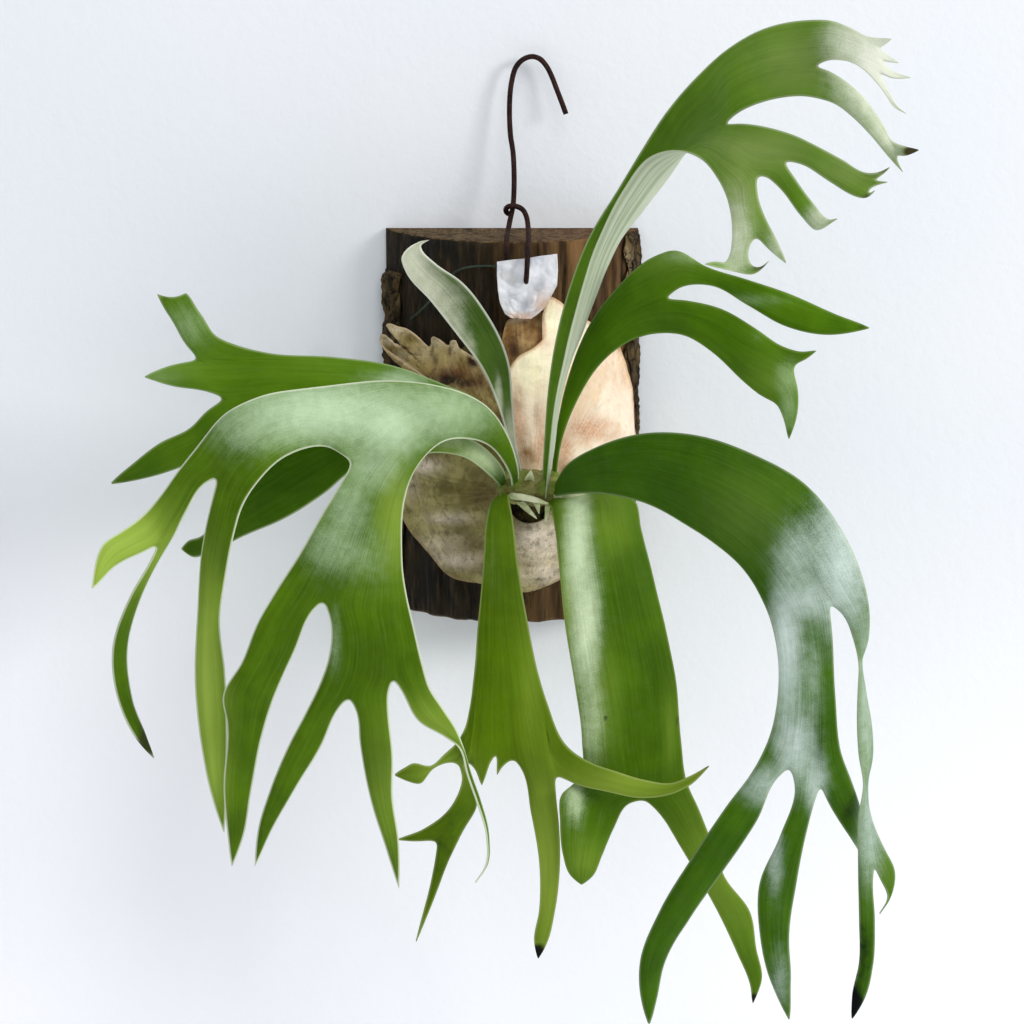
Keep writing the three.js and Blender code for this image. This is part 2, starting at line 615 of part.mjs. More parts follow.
const fronds = {
  frond_left_front: strip([
    [518, 480, 89, 512, 487, 89, 0],
    [518, 466, 101, 508, 471, 102, 0.05],
    [508, 436, 113, 494, 450, 114, 0.1],
    [484, 404, 126, 470, 439, 134, 0.12],
    [440, 387, 138, 440, 443, 154, 0.12],
    [385, 381, 148, 412, 475, 172, 0.1],
    [318, 387, 156, 402, 525, 186, 0.06],
  ], { notch: [[354, 462, 172]], kids: [
    strip([
      [300, 389, 158, 328, 447, 168, 0.06],
      [262, 396, 160, 285, 457, 172, 0.08],
      [228, 412, 160, 258, 482, 174, 0.1],
      [197, 447, 160, 240, 512, 174, 0.06],
    ], { notch: [[218, 477, 168]], kids: [
      strip([
        [178, 471, 163, 205, 484, 168, 0.06],
        [160, 496, 166, 186, 513, 170, 0.08],
        [143, 515, 170, 172, 538, 166, 0.05],
      ], { notch: [[158, 545, 169]], kids: [
        strip([
          [122, 531, 178, 143, 552, 176, 0.1],
          [102, 545, 186, 118, 564, 184, 0.12],
        ], { tip: [92, 588, 192] }),
        strip([
          [150, 561, 166, 160, 557, 163, 0.1],
          [130, 596, 160, 140, 599, 155, 0.1],
          [112, 650, 152, 127, 650, 146, 0.1],
          [118, 700, 147, 133, 700, 141, 0.1],
          [137, 740, 146, 146, 736, 141, 0.1],
        ], { tip: [154, 758, 145], columns: 1 }),
      ] }),
      strip([
        [212, 500, 170, 234, 535, 174, 0.06],
        [203, 545, 168, 226, 575, 170, 0.1],
        [198, 610, 164, 220, 620, 166, 0.12],
        [195, 670, 160, 225, 672, 160, 0.12],
        [199, 730, 156, 227, 730, 154, 0.12],
        [210, 790, 152, 226, 790, 150, 0.1],
      ], { tip: [224, 832, 150] }),
    ] }),
    strip([
      [343, 480, 176, 402, 545, 188, 0.05],
      [322, 514, 180, 403, 570, 190, 0.06],
      [298, 556, 183, 407, 596, 192, 0.06],
      [272, 597, 184, 413, 622, 192, 0.04],
    ], { notch: [[324, 600, 188]], kids: [
      strip([
        [258, 622, 184, 312, 612, 187, 0.05],
        [243, 660, 182, 295, 650, 184, 0.08],
        [223, 698, 178, 275, 695, 181, 0.08],
        [227, 720, 176, 264, 730, 178, 0.08],
        [224, 790, 170, 251, 793, 170, 0.1],
        [228, 838, 166, 243, 838, 166, 0.1],
      ], { tip: [232, 866, 164] }),
      strip([
        [330, 618, 188, 417, 640, 193, 0.05],
        [327, 665, 188, 424, 668, 194, 0.05],
      ], { notch: [[393, 678, 194]], kids: [
        strip([
          [316, 692, 187, 388, 697, 193, 0.05],
        ], { notch: [[349, 697, 190]], kids: [
          strip([
            [306, 712, 186, 339, 708, 188, 0.06],
            [290, 742, 182, 322, 745, 184, 0.08],
            [270, 790, 176, 296, 788, 178, 0.1],
            [258, 830, 171, 273, 828, 172, 0.1],
          ], { tip: [255, 866, 168] }),
          strip([
            [355, 708, 190, 389, 715, 193, 0.06],
            [360, 745, 188, 393, 755, 190, 0.08],
            [369, 795, 184, 393, 797, 185, 0.1],
            [384, 843, 180, 399, 842, 180, 0.1],
          ], { tip: [399, 888, 176] }),
        ] }),
        strip([
          [401, 690, 195, 429, 686, 195, 0.05],
          [418, 721, 196, 443, 708, 196, 0.08],
          [446, 738, 197, 456, 728, 197, 0.1],
          [459, 748, 198, 463, 745, 196, 0.1],
          [468, 775, 197, 471, 772, 193, 0.05],
          [477, 802, 195, 480, 799, 191, 0.05],
          [487, 838, 190, 489, 838, 187, 0],
          [486, 866, 187, 487, 866, 185, 0],
        ], { tip: [476, 883, 185], columns: 1 }),
      ] }),
    ] }),
  ] }),

  frond_middle: strip([
    [500, 499, 84, 511, 496, 86, 0],
    [491, 503, 103, 509, 498, 104, 0.05],
    [486, 525, 118, 513, 520, 118, 0.06],
    [483, 570, 128, 518, 565, 128, 0.06],
    [478, 625, 136, 527, 618, 136, 0.06],
    [474, 675, 143, 538, 672, 143, 0.06],
    [463, 733, 150, 569, 749, 156, 0.03],
  ], { notch: [[469, 762, 151], [497, 751, 152], [513, 757, 152], [555, 777, 157]], kids: [
    strip([
      [454, 746, 147, 463, 765, 143, 0.05],
    ], { notch: [[458, 761, 145]], kids: [
      strip([
        [446, 752, 148, 447, 762, 146, 0.05],
        [431, 766, 150, 432, 769, 149, 0],
        [412, 763, 153, 420, 784, 151, 0.05],
      ], { tip: [395, 775, 154], columns: 1 }),
      strip([
        [462, 780, 138, 471, 782, 136, 0.05],
        [452, 805, 134, 477, 803, 132, 0.06],
        [437, 821, 131, 462, 833, 129, 0.05],
      ], { notch: [[438, 840, 130]], kids: [
        strip([
          [420, 831, 130, 420, 841, 129, 0.05],
        ], { tip: [397, 840, 128], columns: 1 }),
        strip([
          [435, 860, 128, 450, 858, 127, 0.08],
          [429, 890, 126, 437, 892, 125, 0.08],
        ], { tip: [416, 941, 122], columns: 1 }),
      ] }),
    ] }),
    strip([
      [476, 770, 151, 489, 765, 152, 0],
    ], { tip: [482, 785, 151], columns: 1 }),
    strip([
      [497, 763, 152, 502, 767, 152, 0],
    ], { tip: [497, 775, 152], columns: 1 }),
    strip([
      [521, 768, 152, 556, 795, 154, 0.05],
      [531, 812, 150, 559, 825, 151, 0.08],
      [539, 860, 146, 560, 862, 146, 0.1],
      [539, 910, 142, 555, 910, 142, 0.1],
      [534, 943, 140, 546, 945, 140, 0.1],
    ], { tip: [538, 958, 139] }),
    strip([
      [575, 784, 162, 592, 763, 163, 0.05],
      [605, 791, 170, 615, 771, 170, 0.08],
      [640, 798, 177, 645, 780, 176, 0.08],
      [672, 794, 182, 672, 783, 181, 0.06],
      [692, 784, 185, 690, 776, 184, 0.05],
    ], { tip: [709, 766, 188] }),
  ] }),

  frond_broad: strip([
    [548, 503, 83, 553, 498, 83, 0],
    [551, 505, 92, 586, 499, 90, 0.08],
    [552, 511, 103, 629, 499, 100, 0.1],
    [556, 535, 116, 641, 529, 114, 0.16],
    [560, 575, 130, 652, 572, 128, 0.16],
    [565, 625, 140, 665, 625, 138, 0.16],
    [575, 685, 148, 676, 685, 146, 0.14],
    [582, 740, 153, 681, 742, 151, 0.12],
    [580, 778, 156, 687, 783, 154, 0.08],
  ], { notch: [[645, 799, 156]], kids: [
    strip([
      [561, 795, 162, 628, 804, 158, 0.06],
      [560, 822, 165, 614, 828, 160, 0.1],
      [563, 855, 165, 601, 857, 161, 0.12],
      [570, 875, 163, 592, 876, 161, 0.1],
    ], { tip: [581, 884, 161] }),
    strip([
      [658, 812, 154, 697, 805, 152, 0.08],
      [680, 846, 151, 711, 840, 149, 0.1],
      [705, 888, 147, 725, 878, 145, 0.1],
      [722, 920, 144, 750, 912, 142, 0.08],
      [737, 953, 142, 756, 948, 140, 0.1],
      [750, 985, 140, 762, 980, 139, 0.1],
    ], { tip: [753, 1003, 139] }),
  ] }),

  frond_right: strip([
    [554, 495, 89, 557, 484, 88, 0],
    [573, 494, 105, 569, 463, 103, 0.04],
    [605, 494, 124, 602, 445, 118, 0.06],
    [645, 503, 140, 650, 433, 138, 0.08],
    [690, 527, 158, 705, 437, 158, 0.1],
    [727, 553, 174, 755, 455, 176, 0.12],
    [755, 586, 188, 805, 484, 192, 0.12],
    [772, 625, 198, 862, 575, 200, 0.1],
  ], { notch: [[829, 603, 202]], kids: [
    strip([
      [777, 650, 202, 832, 630, 204, 0.1],
      [778, 695, 205, 835, 690, 206, 0.12],
      [765, 748, 205, 842, 757, 206, 0.06],
    ], { notch: [[790, 766, 205], [820, 785, 206]], kids: [
      strip([
        [752, 772, 204, 777, 778, 204, 0.08],
        [728, 804, 200, 757, 820, 200, 0.1],
        [695, 853, 194, 722, 872, 194, 0.12],
        [660, 910, 187, 690, 918, 187, 0.12],
        [640, 962, 180, 665, 962, 180, 0.12],
        [642, 1002, 175, 656, 1000, 175, 0.1],
      ], { tip: [649, 1023, 173] }),
      strip([
        [795, 785, 206, 814, 803, 207, 0.08],
        [780, 836, 206, 804, 842, 206, 0.1],
        [760, 882, 204, 796, 884, 204, 0.1],
        [760, 935, 200, 789, 935, 200, 0.1],
        [770, 980, 196, 791, 980, 196, 0.1],
      ], { tip: [789, 1019, 193] }),
      strip([
        [828, 802, 202, 853, 785, 201, 0.05],
        [845, 830, 196, 862, 815, 194, 0.05],
      ], { tip: [864, 856, 190], columns: 1 }),
    ] }),
    strip([
      [842, 614, 200, 869, 606, 198, 0.08],
      [854, 642, 198, 868, 642, 194, 0.1],
      [859, 662, 196, 862, 662, 191, 0.1],
      [858, 690, 195, 866, 692, 188, 0.1],
      [857, 725, 197, 871, 725, 190, 0.1],
      [859, 755, 200, 873, 760, 193, 0.1],
      [864, 785, 203, 868, 786, 196, 0.1],
      [859, 815, 206, 872, 818, 201, 0.08],
      [858, 845, 208, 884, 848, 204, 0.05],
    ], { notch: [[874, 866, 206]], kids: [
      strip([
        [858, 870, 208, 873, 880, 207, 0.08],
        [859, 920, 208, 875, 922, 207, 0.1],
        [859, 962, 206, 873, 966, 205, 0.1],
        [852, 996, 204, 864, 1000, 203, 0.1],
      ], { tip: [852, 1018, 202], columns: 1 }),
      strip([
        [880, 879, 205, 895, 870, 203, 0.05],
        [888, 899, 204, 891, 897, 202, 0.05],
      ], { tip: [880, 914, 203], columns: 1 }),
    ] }),
  ] }),

  frond_tall: strip([
    [546, 492, 90, 542, 488, 86, 0],
    [549, 455, 100, 544, 450, 88, -0.26],
    [556, 395, 114, 549, 385, 94, -0.24],
    [574, 315, 126, 563, 310, 102, -0.48],
    [600, 235, 136, 592, 232, 110, -0.7],
    [623, 190, 144, 618, 190, 116, -0.72],
    [650, 157, 154, 643, 148, 122, -0.55],
    [683, 151, 166, 668, 110, 136, -0.3],
    [706, 163, 178, 702, 72, 156, -0.1],
  ], { notch: [[724, 125, 172]], kids: [
    strip([
      [716, 176, 184, 742, 124, 180, 0],
      [727, 197, 190, 775, 129, 190, 0.05],
    ], { notch: [[756, 176, 192]], kids: [
      strip([
        [731, 215, 194, 758, 196, 196, 0.05],
        [732, 238, 197, 768, 224, 199, 0.05],
      ], { notch: [[755, 234, 198]], kids: [
        strip([
          [730, 254, 199, 748, 252, 200, 0.05],
          [725, 264, 201, 750, 265, 202, 0],
        ], { notch: [[738, 272, 202]], kids: [
          strip([
            [716, 261, 204, 718, 268, 205, 0],
          ], { tip: [705, 264, 207], columns: 1 }),
          strip([
            [752, 276, 204, 757, 268, 205, 0],
          ], { tip: [769, 261, 208], columns: 1 }),
        ] }),
        strip([
          [766, 247, 203, 777, 240, 203, 0],
        ], { tip: [786, 263, 206], columns: 1 }),
      ] }),
      strip([
        [768, 177, 196, 797, 136, 197, 0.05],
      ], { notch: [[782, 160, 198]], kids: [
        strip([
          [783, 192, 202, 794, 177, 203, 0.05],
          [801, 216, 208, 813, 203, 209, 0.05],
          [817, 231, 213, 828, 219, 214, 0.05],
        ], { tip: [837, 219, 217], columns: 1 }),
        strip([
          [803, 165, 204, 815, 145, 204, 0.06],
          [830, 182, 211, 843, 160, 211, 0.06],
          [855, 197, 217, 868, 174, 217, 0.03],
        ], { notch: [[866, 187, 218], [873, 180, 218]], kids: [
          strip([
            [863, 200, 219, 867, 195, 219, 0],
          ], { tip: [875, 190, 222], columns: 1 }),
          strip([
            [878, 185, 220, 878, 181, 220, 0],
          ], { tip: [888, 182, 222], columns: 1 }),
          strip([
            [880, 177, 220, 878, 173, 220, 0],
          ], { tip: [890, 167, 222], columns: 1 }),
        ] }),
      ] }),
    ] }),
    strip([
      [740, 112, 180, 722, 54, 164, 0.06],
      [775, 99, 190, 757, 32, 174, 0.08],
      [812, 97, 200, 810, 20, 188, 0.06],
    ], { notch: [[814, 66, 196]], kids: [
      strip([
        [833, 103, 206, 829, 71, 202, 0.06],
        [856, 120, 211, 856, 90, 208, 0.08],
        [873, 138, 215, 880, 121, 212, 0.08],
        [886, 154, 217, 893, 143, 216, 0.03],
      ], { notch: [[896, 153, 218]], kids: [
        strip([
          [894, 163, 218, 897, 161, 218, 0],
        ], { tip: [903, 172, 219], columns: 1 }),
        strip([
          [902, 157, 221, 905, 146, 221, 0.05],
        ], { tip: [919, 150, 224], columns: 1 }),
      ] }),
      strip([
        [830, 60, 204, 832, 21, 194, 0.06],
        [850, 62, 208, 852, 29, 200, 0.06],
        [868, 73, 212, 870, 38, 206, 0.03],
      ], { notch: [[878, 71, 212], [879, 59, 211], [876, 48, 209]], kids: [
        strip([
          [883, 91, 213, 887, 88, 213, 0],
          [896, 109, 214, 898, 107, 214, 0],
        ], { tip: [907, 114, 216], columns: 1 }),
        strip([
          [889, 78, 214, 892, 71, 213, 0],
        ], { tip: [911, 78, 217], columns: 1 }),
        strip([
          [887, 62, 212, 888, 55, 211, 0],
        ], { tip: [899, 63, 214], columns: 1 }),
        strip([
          [882, 47, 210, 882, 38, 209, 0],
        ], { tip: [892, 39, 212], columns: 1 }),
      ] }),
    ] }),
  ] }),

  frond_right_upper: strip([
    [556, 479, 84, 552, 474, 82, 0],
    [562, 440, 91, 557, 430, 89, 0.05],
    [576, 403, 97, 566, 385, 94, 0.06],
    [598, 367, 106, 585, 333, 103, 0.08],
    [630, 341, 122, 618, 287, 118, 0.1],
    [668, 333, 141, 655, 256, 138, 0.08],
  ], { notch: [[664, 299, 147]], kids: [
    strip([
      [690, 338, 154, 690, 301, 154, 0.06],
      [717, 356, 162, 722, 309, 162, 0.1],
      [745, 383, 171, 755, 328, 171, 0.1],
      [763, 397, 177, 785, 348, 179, 0.05],
    ], { notch: [[791, 365, 181]], kids: [
      strip([
        [776, 404, 181, 798, 390, 183, 0.06],
        [784, 421, 183, 797, 416, 184, 0.06],
      ], { tip: [789, 439, 185], columns: 1 }),
      strip([
        [803, 361, 185, 800, 352, 185, 0.05],
      ], { tip: [816, 351, 189], columns: 1 }),
    ] }),
    strip([
      [682, 287, 152, 679, 251, 150, 0.08],
      [712, 286, 158, 705, 266, 156, 0.1],
      [748, 305, 163, 745, 279, 162, 0.1],
      [785, 326, 168, 790, 294, 167, 0.12],
      [830, 335, 172, 833, 313, 171, 0.1],
    ], { tip: [869, 328, 175] }),
  ] }),

  frond_young: strip([
    [524, 480, 86, 519, 477, 84, 0],
    [517, 450, 90, 511, 452, 90, -0.1],
    [513, 405, 97, 499, 408, 99, -0.15],
    [508, 360, 102, 483, 370, 104, -0.15],
    [487, 315, 107, 457, 334, 108, -0.15],
    [462, 283, 110, 430, 300, 110, -0.15],
    [435, 264, 112, 406, 272, 112, -0.12],
    [421, 248, 112, 402, 257, 114, -0.1],
    [421, 245, 111, 416, 243, 112, 0],
  ], { tip: [429, 240, 108] }),

  frond_left_upper: strip([
    [512, 473, 80, 508, 478, 80, 0],
    [505, 440, 86, 498, 444, 86, 0.05],
    [482, 403, 95, 474, 415, 96, 0.08],
    [440, 383, 103, 430, 415, 106, 0.1],
    [390, 365, 107, 385, 415, 112, 0.1],
    [330, 357, 110, 330, 412, 116, 0.1],
    [275, 354, 111, 280, 410, 116, 0.08],
    [234, 346, 110, 250, 419, 116, 0.04],
  ], { notch: [[194, 357, 108], [226, 398, 114]], kids: [
    strip([
      [216, 336, 107, 187, 346, 106, 0.05],
      [203, 317, 103, 173, 322, 102, 0.05],
      [193, 302, 99, 161, 303, 98, 0],
    ], { notch: [[175, 299, 98]], kids: [
      strip([
        [191, 297, 97.5, 180, 296, 97.5, 0],
      ], { tip: [186, 293, 97], columns: 1 }),
      strip([
        [167, 298, 97, 159, 298, 97, 0],
      ], { tip: [157, 294, 96], columns: 1 }),
    ] }),
    strip([
      [182, 363, 109, 205, 391, 113, 0.05],
      [163, 368, 110, 172, 386, 112, 0.06],
    ], { tip: [145, 377, 112], columns: 1 }),
    strip([
      [208, 410, 115, 232, 436, 117, 0.05],
      [190, 428, 114, 208, 455, 116, 0.08],
      [160, 443, 112, 178, 468, 113, 0.08],
      [135, 462, 110, 148, 477, 110, 0.08],
    ], { tip: [112, 483, 107] }),
  ] }),

  frond_left_lower: strip([
    [507, 484, 84, 503, 490, 83, 0],
    [500, 464, 99, 488, 474, 101, 0.05],
    [478, 443, 111, 462, 456, 114, 0.08],
    [437, 428, 120, 434, 453, 124, 0.1],
    [390, 425, 126, 392, 462, 132, 0.1],
    [350, 430, 128, 354, 470, 133, 0.1],
    [305, 438, 126, 325, 493, 130, 0.1],
    [260, 462, 120, 285, 518, 124, 0.1],
    [222, 505, 112, 243, 536, 115, 0.1],
    [200, 537, 106, 210, 552, 108, 0.08],
    [188, 541, 103, 192, 557, 104, 0.05],
  ], { tip: [182, 549, 102] }),

};

// ---------------------------------------------------------------- the mounted fern

const finishes = {
  wood: { color: 0x4a3222, roughness: 0.9 },
  bark: { color: 0x2a1e17, roughness: 0.95 },
  moss: { color: 0x2b2218, roughness: 1.0 },
  dryShield: { color: 0xb08a54, roughness: 0.85 },
  brownShield: { color: 0x6f5233, roughness: 0.85 },
  oliveShield: { color: 0xa08f68, roughness: 0.8 },
  paleShield: { color: 0xe3c6a6, roughness: 0.7 },
  crown: { color: 0xb9bb86, roughness: 0.7 },
  frond: { color: 0x4f7a1f, roughness: 0.5 },
  greyFrond: { color: 0x8fb08a, roughness: 0.6 },
  rustyWire: { color: 0x33241f, roughness: 0.6, metalness: 0.6 },
  tieWire: { color: 0x1f3d2a, roughness: 0.5 },
  sheet: { color: 0xe9ebf0, roughness: 0.6 },
};

const fern = new THREE.Group();

function add(name, geometry, finish) {
  const mesh = new THREE.Mesh(geometry, new THREE.MeshStandardMaterial(finishes[finish]));
  mesh.name = name;
  fern.add(mesh);
}

add('log_slab', logSlab(), 'wood');
add('bark_left', leftBark(), 'bark');
add('bark_right', rightBark(), 'bark');
add('moss_pad', mossPad(), 'moss');

const shieldFinish = {
  shield_frond_left_dry: 'dryShield',
  shield_frond_upper: 'brownShield',
  shield_frond_lower: 'oliveShield',
  shield_frond_right: 'paleShield',
};
for (const [name, shape] of Object.entries(shields)) add(name, shield(shape), shieldFinish[name]);

add('crown', crownSolid(), 'crown');
for (const [name, frond] of Object.entries(fronds)) {
  add(name, frondSolid(frond), name === 'frond_young' ? 'greyFrond' : 'frond');
}

add('hook_wire', hookWire(), 'rustyWire');
add('tag', tagSheet(), 'sheet');
add('tie_wire', tieWire(), 'tieWire');

export default fern;
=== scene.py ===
import math

import bpy
import numpy as np
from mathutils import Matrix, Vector


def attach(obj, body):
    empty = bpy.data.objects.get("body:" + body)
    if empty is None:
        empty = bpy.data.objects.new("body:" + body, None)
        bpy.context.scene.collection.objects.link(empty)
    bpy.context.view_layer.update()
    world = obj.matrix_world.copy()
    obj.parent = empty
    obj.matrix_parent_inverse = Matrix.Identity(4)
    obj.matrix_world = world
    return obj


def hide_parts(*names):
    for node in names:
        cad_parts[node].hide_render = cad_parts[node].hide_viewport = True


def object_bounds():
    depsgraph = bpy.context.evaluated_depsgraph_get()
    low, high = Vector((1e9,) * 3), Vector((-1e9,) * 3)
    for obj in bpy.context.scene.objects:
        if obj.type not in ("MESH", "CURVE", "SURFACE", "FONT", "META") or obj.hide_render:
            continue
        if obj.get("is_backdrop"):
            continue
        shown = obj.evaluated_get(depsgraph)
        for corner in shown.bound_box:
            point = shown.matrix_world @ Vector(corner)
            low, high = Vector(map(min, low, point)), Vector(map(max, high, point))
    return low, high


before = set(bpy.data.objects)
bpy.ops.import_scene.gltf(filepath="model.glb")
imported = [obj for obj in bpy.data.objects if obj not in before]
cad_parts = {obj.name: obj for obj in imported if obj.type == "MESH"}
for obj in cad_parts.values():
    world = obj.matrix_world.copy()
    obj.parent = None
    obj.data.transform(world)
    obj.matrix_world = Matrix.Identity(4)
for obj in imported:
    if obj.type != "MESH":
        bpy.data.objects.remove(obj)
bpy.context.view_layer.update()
scene = bpy.context.scene
print("frame loaded:", len(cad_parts), "nodes")

# Outlines are drawn on squared paper held in front of the plant, and laid back along the
# lines of sight from the eye: squares across, squares down, millimetres forward of the wall.
paper = {"square": 0.00055, "middle": 512, "topEdge": 228}
eye = {"distance": 2.0, "pitch": math.radians(14)}
logShape = {"halfWidth": 0.068, "bulge": 0.045, "top": 0.103, "bottom": -0.106,
            "grooveDepth": 0.0018, "grooveCount": 11}
mm = 0.001

sight = np.array([0, math.cos(eye["pitch"]), -math.sin(eye["pitch"])])
paperUp = np.array([0, math.sin(eye["pitch"]), math.cos(eye["pitch"])])
rise = (paper["middle"] - paper["topEdge"]) * paper["square"]
aimHeight = logShape["top"] - rise * eye["distance"] / (
    eye["distance"] * math.cos(eye["pitch"]) + rise * math.sin(eye["pitch"]))
eyePoint = np.array([0, 0, aimHeight]) - eye["distance"] * sight
squareSlope = paper["square"] / eye["distance"]


# The point where the line of sight through a square meets the plane that far off the wall.
def at(rows):
    rows = np.asarray(rows, float)
    ray = sight + (paper["middle"] - rows[..., 1:2]) * squareSlope * paperUp
    ray[..., 0] += (rows[..., 0] - paper["middle"]) * squareSlope
    return eyePoint + ray * ((-rows[..., 2:3] * mm - eyePoint[1]) / ray[..., 1:2])


# The squares that points are seen at: the inverse of at().
def onPaper(points):
    offset = points - eyePoint
    depth = offset @ sight
    return (paper["middle"] + offset[:, 0] / depth / squareSlope,
            paper["middle"] - offset @ paperUp / depth / squareSlope)


# ---- numbers on surfaces

noise = {"seed": 41, "cells": 256, "shiftAcross": 17.31, "shiftAlong": 9.17}
lattice = np.random.default_rng(noise["seed"]).random((noise["cells"], noise["cells"]))


# From 0 at low to 1 at high, eased at both ends: s^2 (3 - 2s) of the share s of the way.
def smooth(value, low=0.0, high=1.0):
    share = np.clip((value - low) / (high - low), 0, 1)
    return share * share * (3 - 2 * share)


# Smooth random numbers from 0 to 1: the values at a lattice's corners, eased between them.
def softNoise(u, v, seed=0):
    u = np.asarray(u, float) + noise["shiftAcross"] * seed
    v = np.asarray(v, float) + noise["shiftAlong"] * seed
    column, row = np.floor(u).astype(int), np.floor(v).astype(int)
    across, along = smooth(u - column), smooth(v - row)
    left, right = column % noise["cells"], (column + 1) % noise["cells"]
    low, high = row % noise["cells"], (row + 1) % noise["cells"]
    here = lattice[low, left] * (1 - across) + lattice[low, right] * across
    above = lattice[high, left] * (1 - across) + lattice[high, right] * across
    return here * (1 - along) + above * along


# Several octaves of softNoise, each half as strong and twice as fine, from -1 to 1.
def cloudNoise(u, v, seed=0, octaves=4):
    total, weight = 0, 0
    for octave in range(octaves):
        total = total + softNoise(u * 2 ** octave, v * 2 ** octave, seed + octave) / 2 ** octave
        weight += 0.5 ** octave
    return 2 * total / weight - 1


# ---- meshes

# Area-weighted normals of the points of a mesh of quads.
def pointNormals(points, quads):
    cross = np.cross(points[quads[:, 2]] - points[quads[:, 0]], points[quads[:, 3]] - points[quads[:, 1]])
    normals = np.zeros_like(points)
    for corner in range(4):
        for axis in range(3):
            normals[:, axis] += np.bincount(quads[:, corner], cross[:, axis], len(points))
    return normals / np.maximum(np.linalg.norm(normals, axis=1, keepdims=True), 1e-12)


# Joins points within a hundredth of a millimetre of each other. A quad that loses a corner
# becomes a triangle, which repeats its last point, and one that loses two is dropped.
def weld(points, quads):
    keys = np.round(points / (0.01 * mm)).astype(np.int64)
    first, merged = np.unique(keys, axis=0, return_index=True, return_inverse=True)[1:]
    quads = merged.reshape(-1)[quads]
    for turn in range(3):
        pinched = (quads == np.roll(quads, -1, axis=1)).any(axis=1) & (quads[:, 2] != quads[:, 3])
        quads = np.where(pinched[:, None], np.roll(quads, 1, axis=1), quads)
    sound = (quads[:, 0] != quads[:, 1]) & (quads[:, 1] != quads[:, 2]) & (quads[:, 0] != quads[:, 2])
    return points[first], quads[sound]


# The edges that only one quad has, each in its quad's own direction.
def openEdges(quads, count):
    edges = np.concatenate([quads[:, [k, (k + 1) % 4]] for k in range(4)])
    edges = edges[edges[:, 0] != edges[:, 1]]
    code = edges[:, 0] * count + edges[:, 1]
    return edges[~np.isin(code, edges[:, 1] * count + edges[:, 0])]


# A grid of rows x columns of point numbers as quads; wrap joins the last column to the first.
def gridQuads(rows, columns, wrap=False):
    number = np.arange(rows * columns).reshape(rows, columns)
    if wrap:
        number = np.hstack([number, number[:, :1]])
    quads = [number[:-1, :-1], number[:-1, 1:], number[1:, 1:], number[1:, :-1]]
    return np.stack(quads, -1).reshape(-1, 4)


# The faces of a sheet, of its copy turned over, whose points come "count" later, and of the
# wall between their rims. Rim edges that start before point "wallFrom" get no wall.
def bothSides(quads, count, wallFrom=0):
    rim = openEdges(quads, count)
    rim = rim[rim[:, 0] >= wallFrom]
    walls = np.stack([rim[:, 1], rim[:, 0], rim[:, 0] + count, rim[:, 1] + count], -1)
    return np.concatenate([quads, quads[:, ::-1] + count, walls])


# Several meshes, each its points and its quads, as one.
def joined(blocks):
    starts = np.cumsum([0] + [len(points) for points, quads in blocks])
    return (np.concatenate([points for points, quads in blocks]),
            np.concatenate([quads + start for (points, quads), start in zip(blocks, starts)]))


# Two grids of points closed by a wall round their rims. Where they wrap, their first rows are
# one point each, and the faces turn the other way.
def stackedGrids(outer, inner, wrap=False):
    rows, columns = outer.shape[:2]
    faces = bothSides(gridQuads(rows, columns, wrap), rows * columns, columns if wrap else 0)
    return np.concatenate([outer.reshape(-1, 3), inner.reshape(-1, 3)]), faces[:, ::-1] if wrap else faces


# A closed sheet: the surface moved half its thickness each way along its normals, with a
# rim between the two. Marks are numbers on the points, the same on both faces, and "under"
# is 0 on the upper face and 1 on the lower.
def closedSheet(points, quads, thickness, marks=None, uv=None):
    count = len(points)
    normals = pointNormals(points, quads)
    half = (np.broadcast_to(thickness, count) / 2)[:, None]
    doubled = {name: np.concatenate([values, values]) for name, values in (marks or {}).items()}
    doubled["under"] = np.repeat([0.0, 1.0], count)
    return (np.concatenate([points + normals * half, points - normals * half]), bothSides(quads, count),
            doubled, None if uv is None else np.concatenate([uv, uv]))


# Puts points, quads (a triangle repeats its last point) and marks into a mesh object at the
# origin, which stands for the nodes. Faces from number "crispFrom" on are shaded flat, which
# gives a sheet a crisp rim.
def makePiece(name, points, quads, material, nodes=(), marks=None, uv=None, crispFrom=None):
    mesh = bpy.data.meshes.new(name)
    pinched = quads[:, 3] == quads[:, 2]
    corners = np.concatenate([quads[~pinched].ravel(), quads[pinched][:, :3].ravel()])
    totals = np.repeat([4, 3], [(~pinched).sum(), pinched.sum()])
    rounded = np.arange(len(quads)) < (len(quads) if crispFrom is None else crispFrom)
    mesh.vertices.add(len(points))
    mesh.vertices.foreach_set("co", np.asarray(points, float).ravel())
    mesh.loops.add(len(corners))
    mesh.loops.foreach_set("vertex_index", corners.astype(np.int32))
    mesh.polygons.add(len(totals))
    mesh.polygons.foreach_set("loop_start", (np.cumsum(totals) - totals).astype(np.int32))
    mesh.update(calc_edges=True)
    if uv is not None:
        mesh.uv_layers.new(name="UVMap").data.foreach_set("uv", np.asarray(uv, float)[corners].ravel())
    for mark, values in (marks or {}).items():
        mesh.attributes.new(mark, "FLOAT", "POINT").data.foreach_set("value", np.asarray(values, float))
    mesh.polygons.foreach_set("use_smooth", np.concatenate([rounded[~pinched], rounded[pinched]]))
    mesh.validate()
    mesh.materials.append(material)
    piece = bpy.data.objects.new(name, mesh)
    scene.collection.objects.link(piece)
    if nodes:
        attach(piece, "root")
        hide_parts(*nodes)
    return piece


# How far along a line of points each one lies.
def lengthAlong(points):
    return np.concatenate([[0], np.cumsum(np.linalg.norm(np.diff(points, axis=0), axis=1))])


